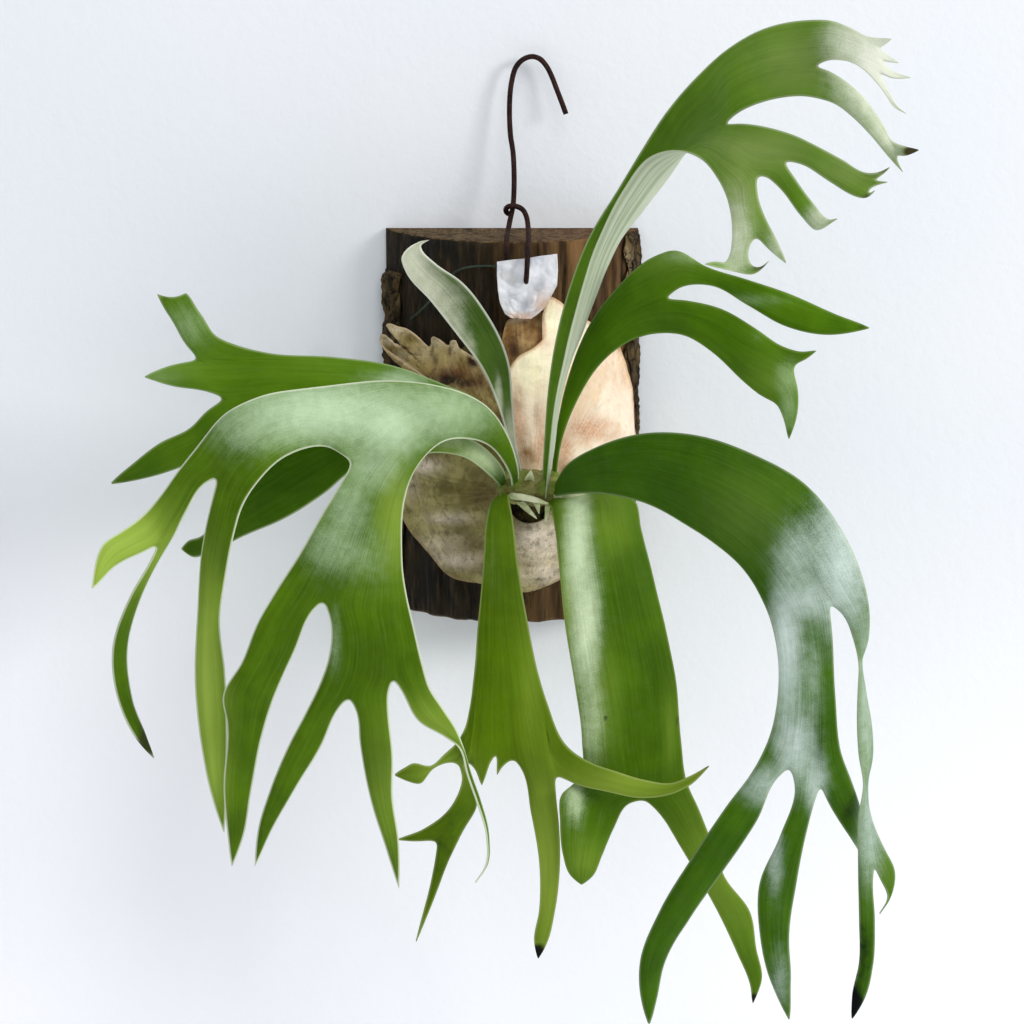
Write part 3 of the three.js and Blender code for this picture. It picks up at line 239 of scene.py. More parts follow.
# A round rod along a path: rings of points square to a frame that is carried along it.
# The radius may change along the path. Each end is closed by fans to a point in its middle.
def rod(path, radius, sides):
    path = np.asarray(path, float)
    ahead = np.gradient(path, axis=0)
    ahead /= np.linalg.norm(ahead, axis=1, keepdims=True)
    side = np.cross(ahead[0], [0.31, 0.2, 0.93])    # any direction that no path starts in
    sideways = []
    for direction in ahead:
        side = side - direction * (side @ direction)
        side /= np.linalg.norm(side)
        sideways.append(side)
    sideways = np.array(sideways)
    other = np.cross(ahead, sideways)
    turn = 2 * np.pi * np.arange(sides) / sides
    reach = np.broadcast_to(radius, len(path))[:, None, None]
    ring = path[:, None] + reach * (sideways[:, None] * np.cos(turn)[:, None]
                                    + other[:, None] * np.sin(turn)[:, None])
    points = np.concatenate([ring.reshape(-1, 3), path[:1], path[-1:]])
    here = np.arange(sides)
    following = (here + 1) % sides
    base, first = (len(path) - 1) * sides, len(path) * sides + 0 * here
    startCap = np.stack([following, here, first, first], -1)
    endCap = np.stack([base + here, base + following, first + 1, first + 1], -1)
    length = lengthAlong(path)
    uv = np.concatenate([np.stack([np.tile(turn / (2 * np.pi), len(path)), np.repeat(length, sides)], -1),
                         [[0.5, 0], [0.5, length[-1]]]])
    return points, np.concatenate([gridQuads(len(path), sides, wrap=True), startCap, endCap]), uv


# Even points on a smooth line through the given ones: centripetal cubic spans, then resampled.
def smoothLine(points, step, pointsPerSpan=24):
    points = np.asarray(points, float)
    ends = np.concatenate([[2 * points[0] - points[1]], points, [2 * points[-1] - points[-2]]])
    knots = np.concatenate([[0], np.cumsum(np.sqrt(np.linalg.norm(np.diff(ends, axis=0), axis=1)))])
    fine = []
    for k in range(1, len(ends) - 2):
        t = np.linspace(knots[k], knots[k + 1], pointsPerSpan)[:-1, None]
        k0, k1, k2, k3 = knots[k - 1:k + 3]
        p0, p1, p2, p3 = ends[k - 1:k + 3]
        a1 = (k1 - t) / (k1 - k0) * p0 + (t - k0) / (k1 - k0) * p1
        a2 = (k2 - t) / (k2 - k1) * p1 + (t - k1) / (k2 - k1) * p2
        a3 = (k3 - t) / (k3 - k2) * p2 + (t - k2) / (k3 - k2) * p3
        b1 = (k2 - t) / (k2 - k0) * a1 + (t - k0) / (k2 - k0) * a2
        b2 = (k3 - t) / (k3 - k1) * a2 + (t - k1) / (k3 - k1) * a3
        fine.append((k2 - t) / (k2 - k1) * b1 + (t - k1) / (k2 - k1) * b2)
    fine = np.concatenate(fine + [points[-1:]])
    length = lengthAlong(fine)
    even = np.linspace(0, length[-1], max(2, int(round(length[-1] / step)) + 1))
    return np.stack([np.interp(even, length, fine[:, axis]) for axis in range(fine.shape[1])], -1)


# ---- shader nodes

# A colour given as it looks on a screen, 0 to 255, as the linear colour that nodes take.
def paint(red, green, blue):
    share = np.array([red, green, blue]) / 255
    linear = np.where(share <= 0.04045, share / 12.92, ((share + 0.055) / 1.055) ** 2.4)
    return (*[float(v) for v in linear], 1.0)


# Adds a node. Inputs are linked where they are sockets and set where they are values.
def put(tree, kind, inputs=None, **settings):
    made = tree.nodes.new("ShaderNode" + kind)
    for name, value in settings.items():
        setattr(made, name, value)
    for name, value in (inputs or {}).items():
        if isinstance(value, bpy.types.NodeSocket):
            tree.links.new(value, made.inputs[name])
        else:
            made.inputs[name].default_value = value
    return made


def calc(tree, operation, first, second=0.0):
    return put(tree, "Math", {0: first, 1: second}, operation=operation).outputs[0]


# A value times a factor, plus another.
def times(tree, value, factor, plus=0.0, clamp=False):
    return put(tree, "Math", {0: value, 1: factor, 2: plus}, operation="MULTIPLY_ADD",
               use_clamp=clamp).outputs[0]


# A number moved from one span to another and held inside it, eased at both ends if asked.
def fit(tree, value, low, high, newLow=0.0, newHigh=1.0, eased=True):
    return put(tree, "MapRange", {"Value": value, "From Min": low, "From Max": high, "To Min": newLow,
                                  "To Max": newHigh},
               interpolation_type="SMOOTHSTEP" if eased else "LINEAR").outputs["Result"]


# A colour covered with another as far as the share says. Each of the two is a socket, or a
# tone as paint takes it.
def coat(tree, under, share, over):
    under, over = (paint(*tone) if isinstance(tone, tuple) else tone for tone in (under, over))
    return put(tree, "Mix", {0: share, 6: under, 7: over}, data_type="RGBA").outputs[2]


def noiseOf(tree, vector, scale, detail=3.0, roughness=0.5, distortion=0.0):
    return put(tree, "TexNoise", {"Vector": vector, "Scale": scale, "Detail": detail,
                                  "Roughness": roughness, "Distortion": distortion}).outputs["Fac"]


def stretched(tree, vector, scale):
    return put(tree, "VectorMath", {0: vector, 1: scale}, operation="MULTIPLY").outputs[0]


def partsOf(tree, vector):
    return put(tree, "SeparateXYZ", {"Vector": vector}).outputs


def markOf(tree, name):
    return put(tree, "Attribute", attribute_name=name).outputs["Fac"]


# A new material, its tree and the place on the plant, in metres, as a socket.
def newMaterial(name):
    material = bpy.data.materials.new(name)
    material.use_nodes = True
    material.node_tree.nodes.clear()
    return material, material.node_tree, put(material.node_tree, "TexCoord").outputs["Object"]


# Ends a material: a shader with its colour, its bump, and a roughness given as the value it
# follows, what it is at the span's low end and what it is at the high end.
def finishMaterial(material, colour, roughness, height, bumpDepth, specular, metallic=0.0, span=(0.3, 0.7)):
    tree = material.node_tree
    value, atLow, atHigh = roughness
    bump = put(tree, "Bump", {"Height": height, "Distance": bumpDepth, "Strength": 1.0})
    shader = put(tree, "BsdfPrincipled", {
        "Base Color": colour, "Roughness": fit(tree, value, *span, atLow, atHigh, eased=False),
        "Normal": bump.outputs["Normal"], "Specular IOR Level": specular, "Metallic": metallic})
    put(tree, "OutputMaterial", {"Surface": shader.outputs[0]})
    return material


# A new node group with named inputs and outputs.
def newGroup(name, inputs, outputs):
    group = bpy.data.node_groups.new(name, "ShaderNodeTree")
    for label, kind, value in inputs:
        socket = group.interface.new_socket(label, in_out="INPUT", socket_type="NodeSocket" + kind)
        if value is not None:
            socket.default_value = value
    for label in outputs:
        group.interface.new_socket(label, in_out="OUTPUT", socket_type="NodeSocketFloat")
    return group, group.nodes.new("NodeGroupInput").outputs, group.nodes.new("NodeGroupOutput").inputs


def useGroup(tree, group, inputs):
    return put(tree, "Group", inputs, node_tree=group).outputs


# Clouded patches with soft edges, as a share from 0 to 1.
def blotchGroup():
    group, given, out = newGroup("blotches", [("Vector", "Vector", None), ("Scale", "Float", 60.0),
                                              ("Spread", "Float", 0.15)], ["Share"])
    cloud = noiseOf(group, given["Vector"], given["Scale"], 4.0, 0.55, 0.3)
    low, high = (calc(group, operation, 0.5, given["Spread"]) for operation in ("SUBTRACT", "ADD"))
    group.links.new(fit(group, cloud, low, high), out["Share"])
    return group


blotches = blotchGroup()


def cloudShare(tree, spot, scale, spread):
    return useGroup(tree, blotches, {"Vector": spot, "Scale": scale, "Spread": spread})["Share"]


# ---- fertile fronds

# One strip of a frond: rows of (left edge's square and forward, right edge's, cup), where
# cup is the height of its middle over the chord as a share of the width. It ends at a tip,
# or at a fork whose notches part its kids.
def strip(rows, notch=(), kids=(), tip=None):
    return {"rows": rows, "notch": list(notch), "kids": list(kids), "tip": tip}


frondShapes = {
    "frond_left_front": strip([
        (518, 480, 89, 512, 487, 89, 0), (518, 466, 101, 508, 471, 102, 0.05),
        (508, 436, 113, 494, 450, 114, 0.1), (484, 404, 126, 470, 439, 134, 0.12),
        (440, 387, 138, 440, 443, 154, 0.12), (385, 381, 148, 412, 475, 172, 0.1),
        (318, 387, 156, 402, 525, 186, 0.06),
    ], notch=[(354, 462, 172)], kids=[
        strip([
            (300, 389, 158, 328, 447, 168, 0.06), (262, 396, 160, 285, 457, 172, 0.08),
            (228, 412, 160, 258, 482, 174, 0.1), (197, 447, 160, 240, 512, 174, 0.06),
        ], notch=[(218, 477, 168)], kids=[
            strip([
                (178, 471, 163, 205, 484, 168, 0.06), (160, 496, 166, 186, 513, 170, 0.08),
                (143, 515, 170, 172, 538, 166, 0.05),
            ], notch=[(158, 545, 169)], kids=[
                strip([
                    (122, 531, 178, 143, 552, 176, 0.1), (102, 545, 186, 118, 564, 184, 0.12),
                ], tip=(92, 588, 192)),
                strip([
                    (150, 561, 166, 160, 557, 163, 0.1), (130, 596, 160, 140, 599, 155, 0.1),
                    (112, 650, 152, 127, 650, 146, 0.1), (118, 700, 147, 133, 700, 141, 0.1),
                    (137, 740, 146, 146, 736, 141, 0.1),
                ], tip=(154, 758, 145)),
            ]),
            strip([
                (212, 500, 170, 234, 535, 174, 0.06), (203, 545, 168, 226, 575, 170, 0.1),
                (198, 610, 164, 220, 620, 166, 0.12), (195, 670, 160, 225, 672, 160, 0.12),
                (199, 730, 156, 227, 730, 154, 0.12), (210, 790, 152, 226, 790, 150, 0.1),
            ], tip=(224, 832, 150)),
        ]),
        strip([
            (343, 480, 176, 402, 545, 188, 0.05), (322, 514, 180, 403, 570, 190, 0.06),
            (298, 556, 183, 407, 596, 192, 0.06), (272, 597, 184, 413, 622, 192, 0.04),
        ], notch=[(324, 600, 188)], kids=[
            strip([
                (258, 622, 184, 312, 612, 187, 0.05), (243, 660, 182, 295, 650, 184, 0.08),
                (223, 698, 178, 275, 695, 181, 0.08), (227, 720, 176, 264, 730, 178, 0.08),
                (224, 790, 170, 251, 793, 170, 0.1), (228, 838, 166, 243, 838, 166, 0.1),
            ], tip=(232, 866, 164)),
            strip([
                (330, 618, 188, 417, 640, 193, 0.05), (327, 665, 188, 424, 668, 194, 0.05),
            ], notch=[(393, 678, 194)], kids=[
                strip([(316, 692, 187, 388, 697, 193, 0.05)], notch=[(349, 697, 190)], kids=[
                    strip([
                        (306, 712, 186, 339, 708, 188, 0.06), (290, 742, 182, 322, 745, 184, 0.08),
                        (270, 790, 176, 296, 788, 178, 0.1), (258, 830, 171, 273, 828, 172, 0.1),
                    ], tip=(255, 866, 168)),
                    strip([
                        (355, 708, 190, 389, 715, 193, 0.06), (360, 745, 188, 393, 755, 190, 0.08),
                        (369, 795, 184, 393, 797, 185, 0.1), (384, 843, 180, 399, 842, 180, 0.1),
                    ], tip=(399, 888, 176)),
                ]),
                strip([
                    (401, 690, 195, 429, 686, 195, 0.05), (418, 721, 196, 443, 708, 196, 0.08),
                    (446, 738, 197, 456, 728, 197, 0.1), (459, 748, 198, 463, 745, 196, 0.1),
                    (468, 775, 197, 471, 772, 193, 0.05), (477, 802, 195, 480, 799, 191, 0.05),
                    (487, 838, 190, 489, 838, 187, 0), (486, 866, 187, 487, 866, 185, 0),
                ], tip=(476, 883, 185)),
            ]),
        ]),
    ]),
    "frond_middle": strip([
        (500, 499, 84, 511, 496, 86, 0), (491, 503, 103, 509, 498, 104, 0.05),
        (486, 525, 118, 513, 520, 118, 0.06), (483, 570, 128, 518, 565, 128, 0.06),
        (478, 625, 136, 527, 618, 136, 0.06), (474, 675, 143, 538, 672, 143, 0.06),
        (470, 706, 147, 547, 702, 148, 0.05), (463, 733, 150, 569, 749, 156, 0.03),
    ], notch=[(469, 762, 151), (497, 751, 152), (513, 757, 152), (554, 774, 157)], kids=[
        strip([(454, 746, 147, 463, 765, 143, 0.05)], notch=[(458, 761, 145)], kids=[
            strip([
                (446, 752, 148, 447, 762, 146, 0.05), (431, 766, 150, 432, 769, 149, 0),
                (412, 763, 153, 420, 784, 151, 0.05),
            ], tip=(395, 775, 154)),
            strip([
                (462, 780, 138, 471, 782, 136, 0.05), (452, 805, 134, 477, 803, 132, 0.06),
                (437, 821, 131, 462, 833, 129, 0.05),
            ], notch=[(438, 840, 130)], kids=[
                strip([(420, 831, 130, 420, 841, 129, 0.05)], tip=(397, 840, 128)),
                strip([
                    (435, 860, 128, 450, 858, 127, 0.08), (429, 890, 126, 437, 892, 125, 0.08),
                ], tip=(416, 941, 122)),
            ]),
        ]),
        strip([(476, 770, 151, 489, 765, 152, 0)], tip=(482, 785, 151)),
        strip([(497, 763, 152, 502, 767, 152, 0)], tip=(497, 775, 152)),
        strip([
            (521, 768, 152, 556, 795, 154, 0.05), (531, 812, 150, 559, 825, 151, 0.08),
            (539, 860, 146, 560, 862, 146, 0.1), (539, 910, 142, 555, 910, 142, 0.1),
            (534, 943, 140, 546, 945, 140, 0.1),
        ], tip=(538, 958, 139)),
        strip([
            (575, 784, 162, 592, 763, 163, 0.05), (605, 791, 170, 615, 771, 170, 0.08),
            (640, 798, 177, 645, 780, 176, 0.08), (672, 794, 182, 672, 783, 181, 0.06),
            (692, 784, 185, 690, 776, 184, 0.05),
        ], tip=(709, 766, 188)),
    ]),
    "frond_broad": strip([
        (548, 503, 83, 553, 498, 83, 0), (550, 506, 92, 580, 492, 90, 0.08),
        (552, 513, 103, 634, 500, 99, 0.1), (556, 535, 116, 641, 529, 114, 0.16),
        (560, 575, 130, 652, 572, 128, 0.16), (565, 625, 140, 665, 625, 138, 0.16),
        (575, 685, 148, 676, 685, 146, 0.14), (582, 740, 153, 681, 742, 151, 0.12),
        (580, 778, 156, 687, 783, 154, 0.08),
    ], notch=[(645, 799, 156)], kids=[
        strip([
            (561, 795, 162, 628, 804, 158, 0.06), (560, 822, 165, 614, 828, 160, 0.1),
            (563, 855, 165, 601, 857, 161, 0.12), (570, 875, 163, 592, 876, 161, 0.1),
        ], tip=(581, 884, 161)),
        strip([
            (658, 812, 154, 697, 805, 152, 0.08), (680, 846, 151, 711, 840, 149, 0.1),
            (705, 888, 147, 725, 878, 145, 0.1), (722, 920, 144, 750, 912, 142, 0.08),
            (737, 953, 142, 756, 948, 140, 0.1), (750, 985, 140, 762, 980, 139, 0.1),
        ], tip=(753, 1003, 139)),
    ]),
    "frond_right": strip([
        (554, 495, 89, 557, 484, 88, 0), (573, 494, 105, 569, 463, 103, 0.04),
        (605, 494, 124, 602, 445, 118, 0.06), (645, 503, 140, 650, 433, 138, 0.08),
        (690, 527, 158, 705, 437, 158, 0.1), (727, 553, 174, 755, 455, 176, 0.12),
        (755, 586, 188, 805, 484, 192, 0.12), (772, 625, 198, 862, 575, 200, 0.1),
    ], notch=[(829, 603, 202)], kids=[
        strip([
            (777, 650, 202, 832, 630, 204, 0.1), (778, 695, 205, 835, 690, 206, 0.12),
            (765, 748, 205, 842, 757, 206, 0.06),
        ], notch=[(790, 766, 205), (820, 785, 206)], kids=[
            strip([
                (752, 772, 204, 777, 778, 204, 0.08), (728, 804, 200, 757, 820, 200, 0.1),
                (695, 853, 194, 722, 872, 194, 0.12), (660, 910, 187, 690, 918, 187, 0.12),
                (640, 962, 180, 665, 962, 180, 0.12), (642, 1002, 175, 656, 1000, 175, 0.1),
            ], tip=(649, 1023, 173)),
            strip([
                (795, 785, 206, 814, 803, 207, 0.08), (780, 836, 206, 804, 842, 206, 0.1),
                (760, 882, 204, 796, 884, 204, 0.1), (760, 935, 200, 789, 935, 200, 0.1),
                (770, 980, 196, 791, 980, 196, 0.1),
            ], tip=(789, 1019, 193)),
            strip([
                (828, 802, 202, 853, 785, 201, 0.05), (845, 830, 196, 862, 815, 194, 0.05),
            ], tip=(864, 856, 190)),
        ]),
        strip([
            (842, 614, 200, 869, 606, 198, 0.08), (854, 642, 198, 868, 642, 194, 0.1),
            (859, 662, 196, 862, 662, 191, 0.1), (858, 690, 195, 866, 692, 188, 0.1),
            (857, 725, 197, 871, 725, 190, 0.1), (859, 755, 200, 873, 760, 193, 0.1),
            (864, 785, 203, 868, 786, 196, 0.1), (859, 815, 206, 872, 818, 201, 0.08),
            (858, 845, 208, 884, 848, 204, 0.05),
        ], notch=[(874, 866, 206)], kids=[
            strip([
                (858, 870, 208, 873, 880, 207, 0.08), (859, 920, 208, 875, 922, 207, 0.1),
                (859, 962, 206, 873, 966, 205, 0.1), (852, 996, 204, 864, 1000, 203, 0.1),
            ], tip=(852, 1018, 202)),
            strip([
                (880, 879, 205, 895, 870, 203, 0.05), (888, 899, 204, 891, 897, 202, 0.05),
            ], tip=(880, 914, 203)),
        ]),
    ]),
    "frond_tall": strip([
        (546, 492, 90, 542, 488, 86, 0), (549, 455, 100, 544, 450, 88, -0.26),
        (556, 395, 114, 549, 385, 94, -0.22), (574, 315, 126, 563, 310, 102, -0.42),
        (600, 235, 136, 592, 232, 110, -0.48), (623, 190, 144, 618, 190, 116, -0.54),
        (650, 157, 154, 643, 148, 122, -0.5), (683, 151, 166, 668, 110, 136, -0.3),
        (706, 163, 178, 702, 72, 156, -0.1),
    ], notch=[(724, 125, 172)], kids=[
        strip([
            (716, 176, 184, 742, 124, 180, 0), (727, 197, 190, 775, 129, 190, 0.05),
        ], notch=[(756, 176, 192)], kids=[
            strip([
                (731, 215, 194, 758, 196, 196, 0.05), (732, 238, 197, 768, 224, 199, 0.05),
            ], notch=[(755, 234, 198)], kids=[
                strip([
                    (730, 254, 199, 748, 252, 200, 0.05), (725, 264, 201, 750, 265, 202, 0),
                ], notch=[(738, 272, 202)], kids=[
                    strip([(716, 261, 204, 718, 268, 205, 0)], tip=(705, 264, 207)),
                    strip([(752, 276, 204, 757, 268, 205, 0)], tip=(769, 261, 208)),
                ]),
                strip([(766, 247, 203, 777, 240, 203, 0)], tip=(786, 263, 206)),
            ]),
            strip([(768, 177, 196, 797, 136, 197, 0.05)], notch=[(782, 160, 198)], kids=[
                strip([
                    (783, 192, 202, 794, 177, 203, 0.05), (801, 216, 208, 813, 203, 209, 0.05),
                    (817, 231, 213, 828, 219, 214, 0.05),
                ], tip=(837, 219, 217)),
                strip([
                    (803, 165, 204, 815, 145, 204, 0.06), (830, 182, 211, 843, 160, 211, 0.06),
                    (855, 197, 217, 868, 174, 217, 0.03),
                ], notch=[(866, 187, 218), (873, 180, 218)], kids=[
                    strip([(863, 200, 219, 867, 195, 219, 0)], tip=(875, 190, 222)),
                    strip([(878, 185, 220, 878, 181, 220, 0)], tip=(888, 182, 222)),
                    strip([(880, 177, 220, 878, 173, 220, 0)], tip=(890, 167, 222)),
                ]),
            ]),
        ]),
        strip([
            (740, 112, 180, 722, 54, 164, 0.06), (775, 99, 190, 757, 32, 174, 0.08),
            (812, 97, 200, 810, 20, 188, 0.06),
        ], notch=[(814, 66, 196)], kids=[
            strip([
                (833, 103, 206, 829, 71, 202, 0.06), (856, 120, 211, 856, 90, 208, 0.08),
                (873, 138, 215, 880, 121, 212, 0.08), (886, 154, 217, 893, 143, 216, 0.03),
            ], notch=[(896, 153, 218)], kids=[
                strip([(894, 163, 218, 897, 161, 218, 0)], tip=(903, 172, 219)),
                strip([(902, 157, 221, 905, 146, 221, 0.05)], tip=(919, 150, 224)),
            ]),
            strip([
                (830, 60, 204, 832, 21, 194, 0.06), (850, 62, 208, 852, 29, 200, 0.06),
                (868, 73, 212, 870, 38, 206, 0.03),
            ], notch=[(878, 71, 212), (879, 59, 211), (876, 48, 209)], kids=[
                strip([
                    (883, 91, 213, 887, 88, 213, 0), (896, 109, 214, 898, 107, 214, 0),
                ], tip=(907, 114, 216)),
                strip([(889, 78, 214, 892, 71, 213, 0)], tip=(911, 78, 217)),
                strip([(887, 62, 212, 888, 55, 211, 0)], tip=(899, 63, 214)),
                strip([(882, 47, 210, 882, 38, 209, 0)], tip=(892, 39, 212)),
            ]),
        ]),
    ]),
    "frond_right_upper": strip([
        (556, 479, 84, 552, 474, 82, 0), (562, 440, 91, 557, 430, 89, 0.05),
        (576, 403, 97, 566, 385, 94, 0.06), (598, 367, 106, 585, 333, 103, 0.08),
        (630, 341, 122, 618, 287, 118, 0.1), (668, 333, 141, 655, 256, 138, 0.08),
    ], notch=[(664, 299, 147)], kids=[
        strip([
            (690, 338, 154, 690, 301, 154, 0.06), (717, 356, 162, 722, 309, 162, 0.1),
            (745, 383, 171, 755, 328, 171, 0.1), (763, 397, 177, 785, 348, 179, 0.05),
        ], notch=[(791, 365, 181)], kids=[
            strip([
                (776, 404, 181, 798, 390, 183, 0.06), (784, 421, 183, 797, 416, 184, 0.06),
            ], tip=(789, 439, 185)),
            strip([(803, 361, 185, 800, 352, 185, 0.05)], tip=(816, 351, 189)),
        ]),
        strip([
            (682, 287, 152, 679, 251, 150, 0.08), (712, 286, 158, 705, 266, 156, 0.1),
            (748, 305, 163, 745, 279, 162, 0.1), (785, 326, 168, 790, 294, 167, 0.12),
            (830, 335, 172, 833, 313, 171, 0.1),
        ], tip=(869, 328, 175)),
    ]),
    "frond_young": strip([
        (524, 480, 86, 519, 477, 84, 0), (517, 450, 90, 511, 452, 90, -0.1),
        (513, 405, 97, 499, 408, 99, -0.15), (508, 360, 102, 483, 370, 104, -0.15),
        (487, 315, 107, 457, 334, 108, -0.15), (462, 283, 110, 430, 300, 110, -0.15),
        (435, 264, 112, 406, 272, 112, -0.12), (421, 248, 112, 402, 257, 114, -0.1),
        (421, 245, 111, 416, 243, 112, 0),
    ], tip=(429, 240, 108)),
    "frond_left_upper": strip([
        (512, 473, 80, 508, 478, 80, 0), (505, 440, 86, 498, 444, 86, 0.05),
        (482, 403, 95, 474, 415, 96, 0.08), (440, 383, 103, 430, 415, 106, 0.1),
        (390, 365, 107, 385, 415, 112, 0.1), (330, 357, 110, 330, 412, 116, 0.1),
        (275, 354, 111, 280, 410, 116, 0.08), (232, 343.5, 110, 250, 419, 116, 0.04),
    ], notch=[(200, 360, 108), (226, 398, 114)], kids=[
        strip([
            (216, 336, 107, 187, 346, 106, 0.05), (203, 317, 103, 173, 322, 102, 0.05),
            (193, 302, 99, 161, 303, 98, 0),
        ], notch=[(175, 299, 98)], kids=[
            strip([(191, 297, 97.5, 180, 296, 97.5, 0)], tip=(186, 293, 97)),
            strip([(167, 298, 97, 159, 298, 97, 0)], tip=(157, 294, 96)),
        ]),
        strip([
            (182, 363, 109, 205, 391, 113, 0.05), (163, 368, 110, 172, 386, 112, 0.06),
        ], tip=(145, 377, 112)),
        strip([
            (208, 410, 115, 232, 436, 117, 0.05), (190, 428, 114, 208, 455, 116, 0.08),
            (160, 443, 112, 178, 468, 113, 0.08), (135, 462, 110, 148, 477, 110, 0.08),
        ], tip=(112, 483, 107)),
    ]),
    "frond_left_lower": strip([
        (507, 484, 84, 503, 490, 83, 0), (500, 464, 99, 488, 474, 101, 0.05),
        (478, 443, 111, 462, 456, 114, 0.08), (437, 428, 120, 434, 453, 124, 0.1),
        (390, 425, 126, 392, 462, 132, 0.1), (350, 430, 128, 354, 470, 133, 0.1),
        (305, 438, 126, 325, 493, 130, 0.1), (260, 462, 120, 285, 518, 124, 0.1),
        (222, 505, 112, 243, 536, 115, 0.1), (200, 537, 106, 210, 552, 108, 0.08),
        (188, 541, 103, 192, 557, 104, 0.05),
    ], tip=(182, 549, 102)),
}

leaf = {"cell": 0.0016, "rowLength": 0.0016, "fewestColumns": 4, "mostColumns": 40, "rootDepth": 0.004,
        "thickness": 0.0012, "stalk": 0.0024, "stalkLength": 0.045, "marginThickness": 0.0006,
        "marginWidth": 0.003, "notchRoom": 0.03, "forkBlend": 3, "tipPower": 0.75, "tipWidth": 0.06,
        "evening": 0.1, "forkEvening": 0.5, "eveningTurns": 8, "forkRounding": 0.007,
        "waviness": 0.0007, "waveLength": 0.03, "waveWidth": 0.05, "waveFrom": 0.03, "waveFull": 0.09}


# A strip has as many columns as its kids have together, or as its widest row has cells.
def countColumns(part):
    if part["kids"]:
        part["columns"] = sum(countColumns(kid) for kid in part["kids"])
    else:
        rows = np.array(part["rows"], float)
        width = np.linalg.norm(at(rows[:, 3:6]) - at(rows[:, :3]), axis=1).max()
        cells = round(width / leaf["cell"])
        part["columns"] = int(np.clip(cells, leaf["fewestColumns"], leaf["mostColumns"]))
    return part["columns"]


# A section: the chord from left to right, raised by 4s(1-s) of its cup along its normal.
def sectionPoints(left, right, cup, along, shares):
    chord = right - left
    width = np.linalg.norm(chord)
    normal = np.cross(along, chord)
    normal /= max(np.linalg.norm(normal), 1e-9)
    s = shares[:, None]
    return left + chord * s + normal * (4 * s * (1 - s) * cup * width)


# Lays out a strip's control rows, then its kids'. The shares drift from even at its start to
# those of the notches at its fork, and the fork's row is bent through them.
def layStrip(part, start=None):
    rows = np.array(part["rows"], float)
    lefts, rights, cups = at(rows[:, :3]), at(rows[:, 3:6]), rows[:, 6]
    middles = (lefts + rights) / 2
    before = middles[:1] - (middles[1:2] - middles[:1]) if len(middles) > 1 else middles[:1]
    if start is not None:
        before = start.mean(0)[None]
    else:
        foot = middles[0] - middles[1]
        foot *= leaf["rootDepth"] / np.linalg.norm(foot)
        for line in (lefts, rights, middles):
            line[0] += foot
    after = middles[-1:] * 2 - (middles[-2:-1] if len(middles) > 1 else before)
    if part["tip"]:
        after = at([part["tip"]])
    line = np.concatenate([before, middles, after])
    alongs = line[2:] - line[:-2]
    count = part["columns"]
    even = np.linspace(0, 1, count + 1)
    shares = even
    if part["kids"]:
        chord = rights[-1] - lefts[-1]
        notches = at(part["notch"])
        places = np.sort(np.clip((notches - lefts[-1]) @ chord / (chord @ chord),
                                 leaf["notchRoom"], 1 - leaf["notchRoom"]))
        knots = np.concatenate([[0], np.cumsum([kid["columns"] for kid in part["kids"]]) / count])
        shares = np.interp(even, knots, np.concatenate([[0], places, [1]]))
    control = []
    for k in range(len(rows)):
        drift = 1.0 if start is None else (k + 1) / len(rows)
        mixed = even + (shares - even) * drift
        control.append(sectionPoints(lefts[k], rights[k], cups[k], alongs[k], mixed))
    if part["kids"]:
        marks = np.round(knots * count).astype(int)
        bend = np.zeros_like(control[-1])
        for k in range(len(marks) - 1):
            span = slice(marks[k], marks[k + 1] + 1)
            low = notches[k - 1] - control[-1][marks[k]] if k else np.zeros(3)
            high = notches[k] - control[-1][marks[k + 1]] if k < len(notches) else np.zeros(3)
            share = np.linspace(0, 1, marks[k + 1] - marks[k] + 1)[:, None]
            bend[span] = low + (high - low) * share
        control[-1] = control[-1] + bend
    part["control"] = ([start] if start is not None else []) + control
    if part["kids"]:
        part["marks"] = marks
        for k, kid in enumerate(part["kids"]):
            layStrip(kid, control[-1][marks[k]:marks[k + 1] + 1])


# Slope per metre of smooth lines through three rows of points whose spacing may differ.
def slopeAt(before, here, after):
    back = np.maximum(np.linalg.norm(here - before, axis=1, keepdims=True), 1e-6)
    ahead = np.maximum(np.linalg.norm(after - here, axis=1, keepdims=True), 1e-6)
    return ((here - before) * ahead / back + (after - here) * back / ahead) / (back + ahead)


# A strip's tip as a row of points.
def tipRow(part):
    return np.repeat(at([part["tip"]]), part["columns"] + 1, axis=0)


# The next control row past a strip's start, for the slopes at its parent's fork.
def firstRow(part):
    return part["control"][1] if len(part["control"]) > 1 else tipRow(part)


# The cubic line from here to there at the share t of its way, with the slopes at its ends.
def cubicAt(t, here, slopeHere, there, slopeThere):
    return (here * (2 * t ** 3 - 3 * t ** 2 + 1) + slopeHere * (t ** 3 - 2 * t ** 2 + t)
            + there * (-2 * t ** 3 + 3 * t ** 2) + slopeThere * (t ** 3 - t ** 2))


